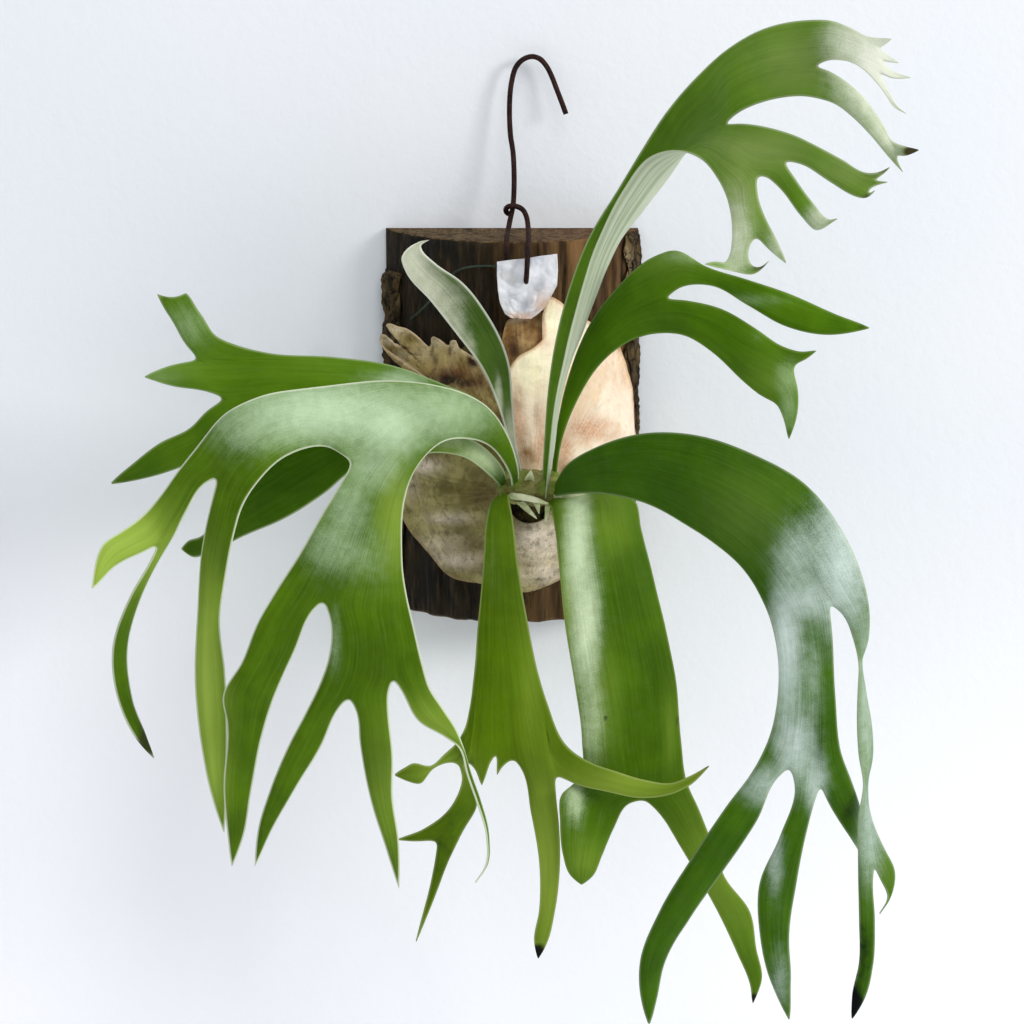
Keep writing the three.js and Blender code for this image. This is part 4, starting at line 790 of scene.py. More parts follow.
# Grows a strip as rows of points on cubic lines through its control rows, and then its kids
# from its last row. The last span narrows to the tip by (1 - t)^tipPower. Columns near a notch
# turn their slopes straight, so that both lobes start from one line.
def growStrip(part, grown, numbers=None, beforeRow=None, edges=(True, True), across=0.0, along=0.0):
    rows, count = part["control"], part["columns"]
    cross = across + np.arange(count + 1) * leaf["cell"]

    def addRow(points, distance, below=None):
        added = grown["count"] + np.arange(count + 1)
        grown["points"].append(points)
        grown["uv"].append(np.stack([cross, np.full(count + 1, distance)], -1))
        grown["count"] += count + 1
        if below is not None:
            grown["quads"].append(np.stack([below[:-1], below[1:], added[1:], added[:-1]], -1))
        return added

    if numbers is None:
        numbers = addRow(rows[0], along)
    column = np.arange(count + 1)
    hold = np.ones(count + 1)
    for outermost, steps in zip(edges, (column, count - column)):
        if not outermost:
            hold = np.minimum(hold, smooth(steps, 0, leaf["forkBlend"]))
    spans = len(rows) - 1
    slopeHere = None
    for span in range(spans + (1 if part["tip"] else 0)):
        here = rows[span]
        toTip = span == spans
        there = tipRow(part) if toTip else rows[span + 1]
        length = np.maximum(np.linalg.norm(there - here, axis=1, keepdims=True), 1e-6)
        straight = (there - here) / length
        if span == 0:
            slopeHere = straight
            if beforeRow is not None:
                slopeHere = straight + (slopeAt(beforeRow, here, there) - straight) * hold[:, None]
        meanLength = float(length.mean())
        steps = max(1, int(round(meanLength / leaf["rowLength"])))
        shares = [(step + 1) / steps for step in range(steps)]
        if toTip:
            centre, end = here.mean(0), there[0]
            tilt = slopeHere.mean(0)
            tilt = tilt / max(np.linalg.norm(tilt), 1e-9) * np.linalg.norm(end - centre)
            for t in shares:
                narrow = max((1 - t) ** leaf["tipPower"], leaf["tipWidth"])
                points = cubicAt(t, centre, tilt, end, end - centre) + (here - centre) * narrow
                numbers = addRow(points, along + meanLength * t, numbers)
            break
        if span + 2 <= spans:
            afterRow = rows[span + 2]
        elif part["tip"]:
            afterRow = tipRow(part)
        else:
            afterRow = np.zeros_like(there)
            for k, kid in enumerate(part["kids"]):
                afterRow[part["marks"][k]:part["marks"][k + 1] + 1] = firstRow(kid)
        slopeThere = slopeAt(here, there, afterRow)
        if span + 1 == spans and part["kids"]:
            for mark in part["marks"][1:-1]:
                near = smooth(np.abs(column - mark), 0, leaf["forkBlend"])[:, None]
                slopeThere = straight + (slopeThere - straight) * near
        for t in shares:
            points = cubicAt(t, here, slopeHere * length, there, slopeThere * length)
            numbers = addRow(points, along + meanLength * t, numbers)
        along += meanLength
        slopeHere = slopeThere
    before = rows[-2] if len(rows) > 1 else beforeRow
    for k, kid in enumerate(part["kids"]):
        first, last = part["marks"][k], part["marks"][k + 1]
        grown["forks"].append(rows[-1][first])
        kidEdges = (edges[0] and k == 0, edges[1] and k == len(part["kids"]) - 1)
        growStrip(kid, grown, numbers[first:last + 1], None if before is None else before[first:last + 1],
                  kidEdges, across + first * leaf["cell"], along)
    if part["kids"]:
        grown["forks"].append(rows[-1][-1])


# The shortest distance from each point to any of the others, in blocks.
def distanceTo(points, others, atOnce=2000):
    nearest = np.empty(len(points))
    others = others.astype(np.float32)
    for first in range(0, len(points), atOnce):
        block = points[first:first + atOnce].astype(np.float32)
        squares = (block ** 2).sum(1)[:, None] + (others ** 2).sum(1)[None] - 2 * block @ others.T
        nearest[first:first + atOnce] = np.sqrt(np.maximum(squares.min(1), 0))
    return nearest


# Moves points towards the mean of their neighbours, those on the margin only along it.
def relax(points, quads, weight, turns):
    edges = np.concatenate([quads[:, [k, (k + 1) % 4]] for k in range(4)])
    edges = np.concatenate([edges, edges[:, ::-1]])
    edges = np.unique(edges[edges[:, 0] != edges[:, 1]], axis=0)
    margin = openEdges(quads, len(points))
    onMargin = np.zeros(len(points), bool)
    onMargin[margin.ravel()] = True
    inner = edges[~onMargin[edges[:, 0]]]
    outer = np.concatenate([margin, margin[:, ::-1]])
    pairs = np.concatenate([inner, outer])
    degree = np.maximum(np.bincount(pairs[:, 0], minlength=len(points)), 1)[:, None]
    for turn in range(turns):
        mean = np.stack([np.bincount(pairs[:, 0], points[pairs[:, 1], axis], len(points))
                         for axis in range(3)], -1) / degree
        points = points + (mean - points) * weight[:, None]
    return points


# Soft round spots on the paper, each (across, down, half width, half height, strength): each
# gives exp(-1.2 d^2) at a point, and they flow together as the cube root of their cubes' sum.
def spotsOn(points, spots):
    across, down = onPaper(points)
    value = np.zeros(len(points))
    for x, y, halfWidth, halfHeight, strength in spots:
        reach = ((across - x) / halfWidth) ** 2 + ((down - y) / halfHeight) ** 2
        value += (strength * np.exp(-1.2 * reach)) ** 3
    return np.cbrt(value)


# A whole frond: its strips grown, rounded at the forks, waved a little and given thickness,
# which thins towards the margin and grows towards the foot by (1 - d / stalk length)^2.
def growFrond(shape, seed):
    countColumns(shape)
    layStrip(shape)
    grown = {"points": [], "uv": [], "quads": [], "forks": [], "count": 0}
    growStrip(shape, grown)
    points, quads = np.concatenate(grown["points"]), np.concatenate(grown["quads"])[:, ::-1]
    uv = np.concatenate(grown["uv"])
    near = np.zeros(len(points))
    if grown["forks"]:
        near = np.exp(-(distanceTo(points, np.array(grown["forks"])) / leaf["forkRounding"]) ** 2)
    points = relax(points, quads, leaf["evening"] + leaf["forkEvening"] * near, leaf["eveningTurns"])
    margin = distanceTo(points, points[np.unique(openEdges(quads, len(points)))])
    away = np.linalg.norm(points - points[0], axis=1)
    wave = (cloudNoise(uv[:, 1] / leaf["waveLength"], uv[:, 0] / leaf["waveWidth"], seed, 2)
            * smooth(away, leaf["waveFrom"], leaf["waveFull"]))
    points = points + pointNormals(points, quads) * (leaf["waviness"] * wave)[:, None]
    fade = np.maximum(0, 1 - away / leaf["stalkLength"]) ** 2
    thickness = leaf["thickness"] + (leaf["stalk"] - leaf["thickness"]) * fade
    inward = smooth(margin, 0, leaf["marginWidth"])
    thickness = leaf["marginThickness"] + (thickness - leaf["marginThickness"]) * inward
    return points, quads, uv, margin, thickness


# Streaks that run along a frond, finer and coarser, with fine felt between.
def fibreGroup():
    group, given, out = newGroup(
        "frondFibres", [("Vector", "Vector", None), ("Fine", "Float", 900.0), ("Coarse", "Float", 260.0)],
        ["Streak", "Ridge", "Felt"])
    scales = [put(group, "CombineXYZ", {"X": given[name], "Y": along, "Z": 0.0}).outputs[0]
              for name, along in (("Fine", 26.0), ("Coarse", 9.0))]
    fine, coarse = (stretched(group, given["Vector"], scale) for scale in scales)
    group.links.new(noiseOf(group, fine, 1.0, 4.0, 0.6), out["Streak"])
    group.links.new(noiseOf(group, coarse, 1.0, 3.0, 0.5, 0.4), out["Ridge"])
    group.links.new(noiseOf(group, given["Vector"], 1700.0, 2.0, 0.6), out["Felt"])
    return group


fibres = fibreGroup()


# Green leaf: two greens in blotches and faint streaks, yellower where "fresh" says, whitish
# felt and painted sheen where the felt mark says, a pale thin margin, black or brown where
# "dark" says at scorched tips and as painted shade in folds and under other fronds, and a
# paler felted under face.
def frondMaterial(name, colours):
    material, tree, spot = newMaterial(name)
    fibre = useGroup(tree, fibres, {"Vector": put(tree, "TexCoord").outputs["UV"]})
    cloud, speck = cloudShare(tree, spot, 30.0, 0.2), cloudShare(tree, spot, 210.0, 0.3)
    bloom, fresh, dark, under, margin = (markOf(tree, mark)
                                         for mark in ("bloom", "fresh", "dark", "under", "margin"))
    streak, ridge = (fit(tree, fibre[part], 0.3, 0.7) for part in ("Streak", "Ridge"))
    colour = coat(tree, colours["deep"], times(tree, cloud, 0.7, times(tree, ridge, 0.2)), colours["mid"])
    colour = coat(tree, colour, times(tree, streak, 0.12), colours["light"])
    colour = coat(tree, colour, times(tree, fresh, times(tree, ridge, 0.2, 0.85)), colours["fresh"])
    # felt and painted sheen are thicker and thinner with the blotches, the streaks and the fine felt grain
    feltAndSheenShare = bloom
    for value, weight in ((speck, 0.2), (streak, 0.1), (fibre["Felt"], 0.7)):
        feltAndSheenShare = times(tree, calc(tree, "SUBTRACT", value, 0.5), weight, feltAndSheenShare)
    feltAndSheenShare = times(tree, feltAndSheenShare, fit(tree, bloom, 0.0, 0.35, 0.12, 1.0))
    feltAndSheenShare = times(tree, under, fit(tree, fibre["Ridge"], 0.3, 0.7, 0.4, 0.75), feltAndSheenShare, clamp=True)
    # whitish felt, and painted sheen where a blade faces the light
    colour = coat(tree, colour, feltAndSheenShare, colours["bloom"])
    rim = times(tree, fit(tree, margin, 0.0013, 0.0003), colours["rimShare"])
    colour = coat(tree, colour, rim, colours["rim"])
    # near black where the dark mark says: scorched tips, and painted shade in a fold, over a lobe and under an
    # overlapping frond
    colour = coat(tree, colour, fit(tree, times(tree, speck, 0.25, dark), 0.3, 0.9), colours["tip"])
    height = times(tree, fibre["Streak"], 0.4, fibre["Ridge"])
    return finishMaterial(material, colour, (feltAndSheenShare, 0.5, 0.8), height, 0.0004, 0.06, span=(0.0, 1.0))


# Each frond's greens, and where its felt with painted sheen, its fresh growth and its scorched
# tips lie, as soft spots on the paper. A few dark spots away from the tips are painted shade.
frondLooks = {
    "frond_left_front": {
        "colours": {
            "deep": (54, 84, 0), "mid": (78, 112, 4), "light": (118, 150, 30), "fresh": (150, 176, 70),
            "bloom": (182, 206, 168), "rim": (236, 242, 214), "rimShare": 0.6, "tip": (50, 58, 20)},
        # the felt spots across the top of the arch are mostly painted light where it faces up
        "bloom": [
            (325, 412, 108, 36, 0.95), (390, 428, 36, 32, 0.9), (445, 410, 60, 34, 0.58),
            (250, 425, 44, 36, 0.42), (372, 464, 34, 32, 0.5), (348, 505, 30, 42, 0.42),
            (334, 545, 36, 36, 0.4), (365, 555, 34, 40, 0.25), (335, 640, 8, 40, 0.3)],
        "fresh": [
            (120, 540, 60, 44, 0.9), (100, 570, 30, 40, 0.9), (208, 680, 18, 110, 1.0),
            (214, 770, 14, 60, 0.9), (430, 725, 40, 30, 0.5), (160, 580, 20, 40, 0.5),
            (394, 515, 18, 60, 0.5), (440, 735, 26, 14, 0.5), (385, 800, 20, 80, 0.3)],
        # the second dark spot is painted shade in a fold
        "dark": [(145, 745, 14, 34, 0.8), (412, 452, 8, 24, 0.3)]},
    "frond_middle": {
        "colours": {
            "deep": (58, 84, 0), "mid": (82, 112, 0), "light": (116, 142, 24), "fresh": (132, 156, 52),
            "bloom": (157, 181, 141), "rim": (178, 188, 120), "rimShare": 0.35, "tip": (14, 18, 6)},
        "bloom": [(492, 560, 10, 50, 0.12)],
        "fresh": [
            (620, 785, 70, 24, 0.85), (545, 870, 24, 100, 1.0), (690, 775, 30, 14, 0.5),
            (440, 770, 40, 22, 0.6), (530, 690, 12, 90, 0.3)],
        # the broad second dark spot is painted shade over the lower left lobe
        "dark": [(538, 952, 9, 9, 1.2), (448, 850, 30, 60, 0.36), (712, 766, 8, 6, 0.7)]},
    "frond_broad": {
        "colours": {
            "deep": (52, 86, 0), "mid": (74, 110, 0), "light": (112, 144, 24), "fresh": (124, 152, 50),
            "bloom": (214, 232, 190), "rim": (176, 190, 110), "rimShare": 0.3, "tip": (30, 30, 12)},
        # the first felt spots are a painted highlight streak down the left of the blade
        "bloom": [
            (578, 545, 14, 70, 1.0), (586, 625, 15, 70, 0.95), (592, 720, 16, 60, 0.4),
            (575, 800, 12, 30, 0.45)],
        "fresh": [
            (566, 600, 10, 130, 0.8), (612, 520, 22, 40, 0.5), (604, 700, 18, 60, 0.4),
            (720, 870, 50, 90, 0.7), (585, 860, 24, 24, 0.5), (670, 730, 8, 50, 0.4)],
        # the last dark spot is a painted shadow along the top edge, under the right frond's margin
        "dark": [
            (753, 1000, 7, 7, 1.2), (606, 718, 3.5, 4, 0.6), (677, 720, 2.5, 8, 0.6),
            (590, 493, 34, 4, 0.5)]},
    "frond_right": {
        "colours": {
            "deep": (42, 78, 0), "mid": (60, 100, 0), "light": (104, 138, 26), "fresh": (112, 142, 56),
            "bloom": (198, 214, 206), "rim": (188, 204, 160), "rimShare": 0.25, "tip": (2, 6, 2)},
        # felt spots with painted sheen where the blade bends over
        "bloom": [
            (842, 560, 32, 80, 0.82), (800, 556, 30, 40, 0.5), (786, 650, 18, 80, 0.9),
            (806, 600, 30, 24, 0.65), (812, 680, 14, 60, 0.3), (795, 745, 22, 40, 0.75),
            (815, 780, 14, 36, 0.6), (770, 785, 34, 24, 0.5), (775, 850, 10, 50, 0.45),
            (866, 700, 12, 110, 0.45), (870, 830, 16, 60, 0.5), (780, 980, 12, 40, 0.3)],
        "fresh": [(750, 510, 46, 50, 0.35), (866, 720, 14, 90, 0.5), (880, 870, 16, 30, 0.4)],
        "dark": [(852, 1010, 12, 34, 1.3), (862, 950, 14, 40, 0.55), (848, 815, 16, 30, 0.4)]},
    "frond_tall": {
        "colours": {
            "deep": (68, 106, 8), "mid": (92, 132, 22), "light": (130, 156, 60), "fresh": (138, 154, 92),
            "bloom": (222, 226, 208), "rim": (206, 214, 180), "rimShare": 0.3, "tip": (62, 58, 34)},
        # the first felt spot is a painted highlight, whiter than the felt
        "bloom": [
            (880, 70, 44, 60, 1.1), (850, 40, 30, 30, 0.6), (890, 130, 30, 34, 0.6),
            (735, 240, 22, 50, 0.5), (820, 220, 18, 20, 0.5), (780, 245, 18, 24, 0.4)],
        "fresh": [
            (800, 60, 60, 40, 0.4), (760, 150, 60, 24, 0.55), (740, 200, 30, 50, 0.6),
            (850, 170, 50, 24, 0.4)],
        "dark": [
            (912, 152, 10, 7, 1.2), (880, 168, 12, 6, 0.8), (868, 198, 12, 5, 0.6), (760, 266, 10, 8, 0.7)]},
    "frond_right_upper": {
        "colours": {
            "deep": (54, 92, 0), "mid": (78, 118, 0), "light": (112, 146, 30), "fresh": (112, 140, 50),
            "bloom": (158, 184, 134), "rim": (160, 182, 110), "rimShare": 0.25, "tip": (40, 44, 10)},
        "bloom": [
            (788, 378, 14, 22, 0.5), (762, 335, 16, 10, 0.2), (690, 255, 34, 10, 0.45),
            (750, 300, 50, 8, 0.3), (788, 410, 10, 30, 0.4)],
        "fresh": [(670, 260, 40, 16, 0.5), (770, 380, 30, 30, 0.4)],
        "dark": [(790, 432, 5, 8, 0.5), (862, 327, 8, 5, 0.5)]},
    "frond_young": {
        "colours": {
            "deep": (46, 74, 8), "mid": (70, 98, 28), "light": (126, 144, 84), "fresh": (150, 160, 110),
            "bloom": (202, 204, 182), "rim": (236, 238, 224), "rimShare": 0.5, "tip": (90, 84, 50)},
        "bloom": [
            (412, 262, 26, 38, 0.9), (430, 292, 20, 34, 0.75), (444, 314, 16, 34, 0.6),
            (457, 334, 12, 30, 0.5), (469, 352, 9, 26, 0.4), (456, 300, 18, 30, 0.3),
            (498, 404, 5, 30, 0.6), (510, 442, 7, 34, 0.8)],
        "fresh": [(508, 440, 8, 30, 0.3)], "dark": []},
    "frond_left_upper": {
        "colours": {
            "deep": (60, 96, 2), "mid": (84, 120, 12), "light": (118, 150, 44), "fresh": (116, 146, 70),
            "bloom": (168, 190, 152), "rim": (190, 206, 160), "rimShare": 0.3, "tip": (70, 70, 30)},
        "bloom": [
            (186, 326, 34, 26, 0.28), (400, 387, 28, 16, 1.0), (366, 378, 20, 12, 0.2),
            (160, 378, 24, 10, 0.2)],
        "fresh": [(160, 372, 34, 18, 0.5), (192, 330, 30, 30, 0.25)],
        "dark": [(120, 478, 20, 8, 0.4), (166, 300, 8, 8, 0.4)]},
    "frond_left_lower": {
        "colours": {
            "deep": (46, 82, 0), "mid": (66, 102, 0), "light": (100, 132, 26), "fresh": (116, 140, 50),
            "bloom": (190, 208, 160), "rim": (214, 224, 184), "rimShare": 0.4, "tip": (50, 50, 16)},
        "bloom": [(486, 456, 30, 20, 0.85), (450, 440, 24, 10, 0.5)], "fresh": [(450, 446, 40, 14, 0.6)],
        "dark": [(190, 545, 14, 10, 0.4)]},
}


def makeFronds():
    for seed, (node, shape) in enumerate(frondShapes.items()):
        name, look = node.replace("frond_", "leaf_"), frondLooks[node]
        points, quads, uv, margin, thickness = growFrond(shape, seed)
        marks = {mark: spotsOn(points, look[mark]) for mark in ("bloom", "fresh", "dark")}
        marks["margin"] = margin
        points, quads, marks, uv = closedSheet(points, quads, thickness, marks, uv)
        makePiece(name, points, quads, frondMaterial(name, look["colours"]), [node], marks, uv)
        print(name, len(quads), "faces")


makeFronds()

# ---- log

logRadius = (logShape["halfWidth"] ** 2 + logShape["bulge"] ** 2) / (2 * logShape["bulge"])
logCentre = logShape["bulge"] - logRadius
logHalfArc = logRadius * math.asin(logShape["halfWidth"] / logRadius)


# A place on the log's round front: arc along it from its middle, height, and lift off it.
def onLog(arc, up, lift):
    arc, up, lift = np.broadcast_arrays(arc, up, lift)
    angle, radius = arc / logRadius, logRadius + lift
    return np.stack([radius * np.sin(angle), -(logCentre + radius * np.cos(angle)), up], -1)


# Waves that roughen a surface, from -1 to 1, at a place given in millimetres.
def rough(a, b):
    return (np.sin(a * 0.31 + b * 0.11) + np.sin(a * 0.17 - b * 0.23 + 2.1)
            + np.sin(a * 0.47 + b * 0.41 + 4.2) * np.sin(b * 0.35)) / 3


mound = {"arc": 0.008, "up": -0.014, "halfWidth": 0.063, "halfHeight": 0.077, "height": 0.024,
         "ripple": 0.00035, "rim": 0.0016}


# Height of the moss and root cushion over the log's front.
def moundLift(arc, up):
    reach = ((arc - mound["arc"]) / mound["halfWidth"]) ** 2 + ((up - mound["up"]) / mound["halfHeight"]) ** 2
    return (mound["rim"] + mound["height"] * np.maximum(0, 1 - reach)
            + mound["ripple"] * rough(arc / mm, up / mm))


# The arc and height on the log that are seen at squares of the paper, where the surface
# stands off by liftAt(arc, up), found by moving the point forward by a share of what it is
# out until it agrees.
def seenOn(across, down, liftAt, turns=60, share=0.4, widest=0.97):
    across, down = np.asarray(across, float), np.asarray(down, float)
    forward = np.full(across.shape, logShape["bulge"])
    lift = np.zeros(across.shape)
    for turn in range(turns):
        point = at(np.stack([across, down, forward / mm], -1))
        lateral = np.clip(point[..., 0] / (logRadius + lift), -widest, widest)
        arc, up = logRadius * np.arcsin(lateral), point[..., 2]
        lift = liftAt(arc, up)
        seen = logCentre + (logRadius + lift) * np.cos(arc / logRadius)
        forward = forward + (seen - forward) * share
    return arc, up


logLook = {"columns": 240, "rows": 200, "capRows": 30, "fissure": 0.0011, "edge": 0.0022, "edgeRounding": 0.6,
           "sideDepth": 0.0006, "endDip": 0.0007, "endGrain": 0.0006, "endGrainLength": 0.004,
           "crackSize": (0.004, 0.03), "wideCrackSize": (0.009, 0.06), "wideCrackShare": 0.6}


# The log: its front on a grid of arc and height with grooves and fissures, rounded into flat
# ends, and a flat back. Each column is a closed loop: bottom end, front, top end, back. The
# first and last loops are closed by fans of triangles.
def makeLog():
    columns, rows, capRows = logLook["columns"], logLook["rows"], logLook["capRows"]
    share = np.linspace(0, 1, columns + 1)[:, None]
    arc = logHalfArc * (2 * share - 1)
    level = np.linspace(0, 1, rows + 1)[None]
    up = logShape["bottom"] + (logShape["top"] - logShape["bottom"]) * level
    groove = np.cos(2 * np.pi * logShape["grooveCount"] * share + 0.6 * np.sin(5 * level)
                    + 0.5 * cloudNoise(level * 6, share * 3, 3))
    fade = np.minimum(1, 8 * share * (1 - share))
    fine, wide = logLook["crackSize"], logLook["wideCrackSize"]
    fissure = (cloudNoise(arc / fine[0], up / fine[1], 7)
               - logLook["wideCrackShare"] * np.abs(cloudNoise(arc / wide[0], up / wide[1], 12)))
    lift = (-logShape["grooveDepth"] * fade * (0.5 + 0.5 * groove)
            + logLook["fissure"] * fade * (fissure - 0.3))
    edge = np.minimum(up - logShape["bottom"], logShape["top"] - up) / logLook["edge"]
    lift = lift - logLook["edge"] * logLook["edgeRounding"] * (1 - np.minimum(edge, 1)) ** 2 * fade
    front = onLog(arc, up, lift)
    front[..., 1] = np.minimum(front[..., 1], -logLook["sideDepth"])
    inward = np.linspace(0, 1, capRows + 1)[1:-1]
    caps = []
    for end, outward in ((front[:, 0], -1), (front[:, -1], 1)):
        cap = np.repeat(end[:, None], capRows - 1, axis=1)
        cap[..., 1] = end[:, None, 1] * (1 - inward)
        grain = cloudNoise(*(cap[..., axis] / logLook["endGrainLength"] for axis in (0, 1)), 21)
        grain = logLook["endGrain"] * grain * smooth(inward, 0, 0.08)
        cap[..., 2] += outward * (grain - logLook["endDip"])
        caps.append(cap)
    backBottom, backTop = front[:, :1].copy(), front[:, -1:].copy()
    backBottom[..., 1] = 0
    backTop[..., 1] = 0
    points = np.concatenate([backBottom, caps[0][:, ::-1], front, caps[1], backTop], axis=1)
    loops, length = points.shape[:2]
    quads = gridQuads(loops, length, wrap=True)[:, ::-1]
    rim = openEdges(quads, loops * length)
    apex = rim[:, 0] // length * length
    rim = np.column_stack([rim[:, 1], rim[:, 0], apex, apex])
    fans = rim[(rim[:, 0] != rim[:, 2]) & (rim[:, 1] != rim[:, 2])]
    back = np.arange(len(quads)) % length == length - 1
    return points.reshape(-1, 3), np.concatenate([quads[~back], quads[back], fans]), np.count_nonzero(~back)


# Dark weathered wood: long grooves and cracks, brown and beige stripes towards the right side,
# painted shade that turns the left side green-black, and rings on its ends.
def logMaterial():
    material, tree, spot = newMaterial("weatheredLog")
    across = partsOf(tree, spot)["X"]
    grain = noiseOf(tree, stretched(tree, spot, (1, 1, 0.12)), 420.0, 5.0, 0.62, 0.3)
    bands = noiseOf(tree, stretched(tree, spot, (1, 1, 0.05)), 95.0, 3.0, 0.5, 0.5)
    # green-black of the painted shade on the left side
    dark = coat(tree, (15, 13, 5), cloudShare(tree, spot, 45.0, 0.2), (40, 31, 13))
    brown = coat(tree, (58, 38, 15), fit(tree, bands, 0.38, 0.62), (122, 90, 52))
    # painted shade: green-black on the left, where the round front turns from the light, brown on the right
    colour = coat(tree, dark, fit(tree, across, -0.035, 0.05), brown)
    colour = coat(tree, colour, fit(tree, grain, 0.5, 0.72, 0, 0.3), (104, 80, 48))
    colour = coat(tree, colour, fit(tree, grain, 0.42, 0.30), (10, 8, 3))
    # rings round a pith near the back, wobbling by a few millimetres
    pith = partsOf(tree, put(tree, "VectorMath", {0: spot, 1: (0.004, -0.006, 0.0)},
                             operation="SUBTRACT").outputs[0])
    flat = put(tree, "CombineXYZ", {"X": pith["X"], "Y": pith["Y"]}).outputs[0]
    radius = put(tree, "VectorMath", {0: flat}, operation="LENGTH").outputs["Value"]
    wobble = times(tree, noiseOf(tree, spot, 60.0, 3.0), 0.006, radius)
    rings = calc(tree, "SINE", times(tree, wobble, 2600.0))
    end = coat(tree, (58, 42, 22), fit(tree, noiseOf(tree, spot, 260.0, 4.0, 0.6), 0.35, 0.65), (112, 92, 60))
    end = coat(tree, end, fit(tree, rings, 0.2, 1.0, 0, 0.35), (56, 40, 22))
    end = coat(tree, end, fit(tree, across, -0.03, 0.06, 0, 0.35), (112, 70, 44))
    facing = partsOf(tree, put(tree, "NewGeometry").outputs["Normal"])["Z"]
    colour = coat(tree, colour, fit(tree, calc(tree, "ABSOLUTE", facing), 0.6, 0.85), end)
    height = times(tree, rings, 0.05, times(tree, bands, 0.8, grain))
    return finishMaterial(material, colour, (grain, 0.95, 0.75), height, 0.0016, 0.25)


logPoints, logQuads, roundFaces = makeLog()
makePiece("weathered_log", logPoints, logQuads, logMaterial(), ["log_slab"], crispFrom=roundFaces)
print("log", len(logQuads), "faces")

barkShape = {"columns": 50, "rows": 330, "thickness": 0.0055, "roughness": 0.0018, "rim": 0.001,
             "waving": 0.003, "flake": 0.0008, "crack": 0.0018, "crackWidth": 0.09, "under": 0.0003,
             "least": 0.0008, "chips": [(624, 262, 7, 16, 1.0)]}
# Each strip lies at one side of the log, "width" from its edge, with an inner edge that waves,
# from "over" the log's bottom to "short" of its top.
barkStrips = {
    "bark_left": {"side": -1, "width": 0.017, "waves": 9, "over": 0.001, "short": 0.022, "thinning": 0.75,
                  "seed": 31},
    "bark_right": {"side": 1, "width": 0.015, "waves": 5, "over": 0.06, "short": 0.001, "thinning": 0.55,
                   "seed": 57},
}


# A bark strip: a grid of arc between two edges and height, raised in flakes with cracks
# between them, closed down to the log at its rim.
def makeBark(shape):
    seed, under = shape["seed"], barkShape["under"]
    low, high = logShape["bottom"] + shape["over"], logShape["top"] - shape["short"]
    share = np.linspace(0, 1, barkShape["columns"] + 1)[None]
    up = np.linspace(low, high, barkShape["rows"] + 1)[:, None]
    rimEdge = shape["side"] * (logHalfArc - barkShape["rim"]) + 0 * up
    wave = barkShape["waving"] * rough(up / mm, shape["waves"])
    innerEdge = shape["side"] * (logHalfArc - shape["width"]) + wave
    left, right = (rimEdge, innerEdge) if shape["side"] < 0 else (innerEdge, rimEdge)
    arc = left + (right - left) * share
    flake = cloudNoise(arc / 0.006, up / 0.014, seed) + 0.5 * cloudNoise(arc / 0.0017, up / 0.004, seed + 3)
    crack = np.exp(-(cloudNoise(arc / 0.007, up / 0.02, seed + 8) / barkShape["crackWidth"]) ** 2)
    rim = smooth(np.minimum(share, 1 - share), 0, 0.16) * smooth(np.minimum(up - low, high - up), 0, 0.003)
    lift = under + (barkShape["thickness"] - under + barkShape["roughness"] * rough(2 * arc / mm, 2 * up / mm)
                    + barkShape["flake"] * flake - barkShape["crack"] * crack) * (0.25 + 0.75 * rim)
    outer = onLog(arc, up, np.maximum(lift * shape["thinning"], barkShape["least"]))
    return stackedGrids(outer, onLog(arc, up, under))


def barkMaterial():
    material, tree, spot = newMaterial("flakyBark")
    flakes = put(tree, "TexVoronoi", {"Vector": stretched(tree, spot, (1, 1, 0.45)), "Scale": 170.0,
                                      "Randomness": 1.0}, feature="DISTANCE_TO_EDGE").outputs["Distance"]
    grain = noiseOf(tree, stretched(tree, spot, (1, 1, 0.3)), 380.0, 5.0, 0.65, 0.4)
    colour = coat(tree, (40, 32, 18), cloudShare(tree, spot, 90.0, 0.14), (82, 66, 40))
    colour = coat(tree, colour, fit(tree, grain, 0.5, 0.75, 0, 0.45), (124, 104, 70))
    colour = coat(tree, colour, markOf(tree, "chip"), (196, 172, 128))
    colour = coat(tree, colour, fit(tree, grain, 0.46, 0.32), (14, 10, 5))
    colour = coat(tree, colour, fit(tree, flakes, 0.05, 0.0), (18, 13, 7))
    height = calc(tree, "ADD", grain, fit(tree, flakes, 0.0, 0.15))
    return finishMaterial(material, colour, (grain, 0.95, 0.8), height, 0.0012, 0.2)


barkFinish = barkMaterial()
for barkNode, barkStrip in barkStrips.items():
    barkPoints, barkQuads = makeBark(barkStrip)
    barkName = barkNode.replace("bark_", "bark_strip_")
    makePiece(barkName, barkPoints, barkQuads, barkFinish, [barkNode],
              {"chip": spotsOn(barkPoints, barkShape["chips"])})
print("bark made")

# ---- moss and roots

mossShape = {"rings": 76, "spokes": 220, "reach": 0.93, "fuzz": 0.0011, "tuft": 0.005, "least": 0.0008,
             "below": 0.0006}


# The cushion of moss: rings of points out from its middle on the mound, closed below.
def makeMoss():
    rings, spokes = mossShape["rings"], mossShape["spokes"]
    turn = 2 * np.pi * np.arange(spokes) / spokes
    ring = (np.arange(rings + 1) / rings)[:, None]
    radius = mossShape["reach"] * ring * (1 + 0.03 * np.sin(7 * turn) * smooth(ring, 0.7, 1))
    arc = mound["arc"] + mound["halfWidth"] * radius * np.cos(turn)
    up = mound["up"] + mound["halfHeight"] * radius * np.sin(turn)
    fuzz = cloudNoise(arc / mossShape["tuft"], up / mossShape["tuft"], 61, 5) * mossShape["fuzz"]
    lift = np.maximum(moundLift(arc, up) + fuzz, mossShape["least"])
    return weld(*stackedGrids(onLog(arc, up, lift), onLog(arc, up, mossShape["below"]), wrap=True))


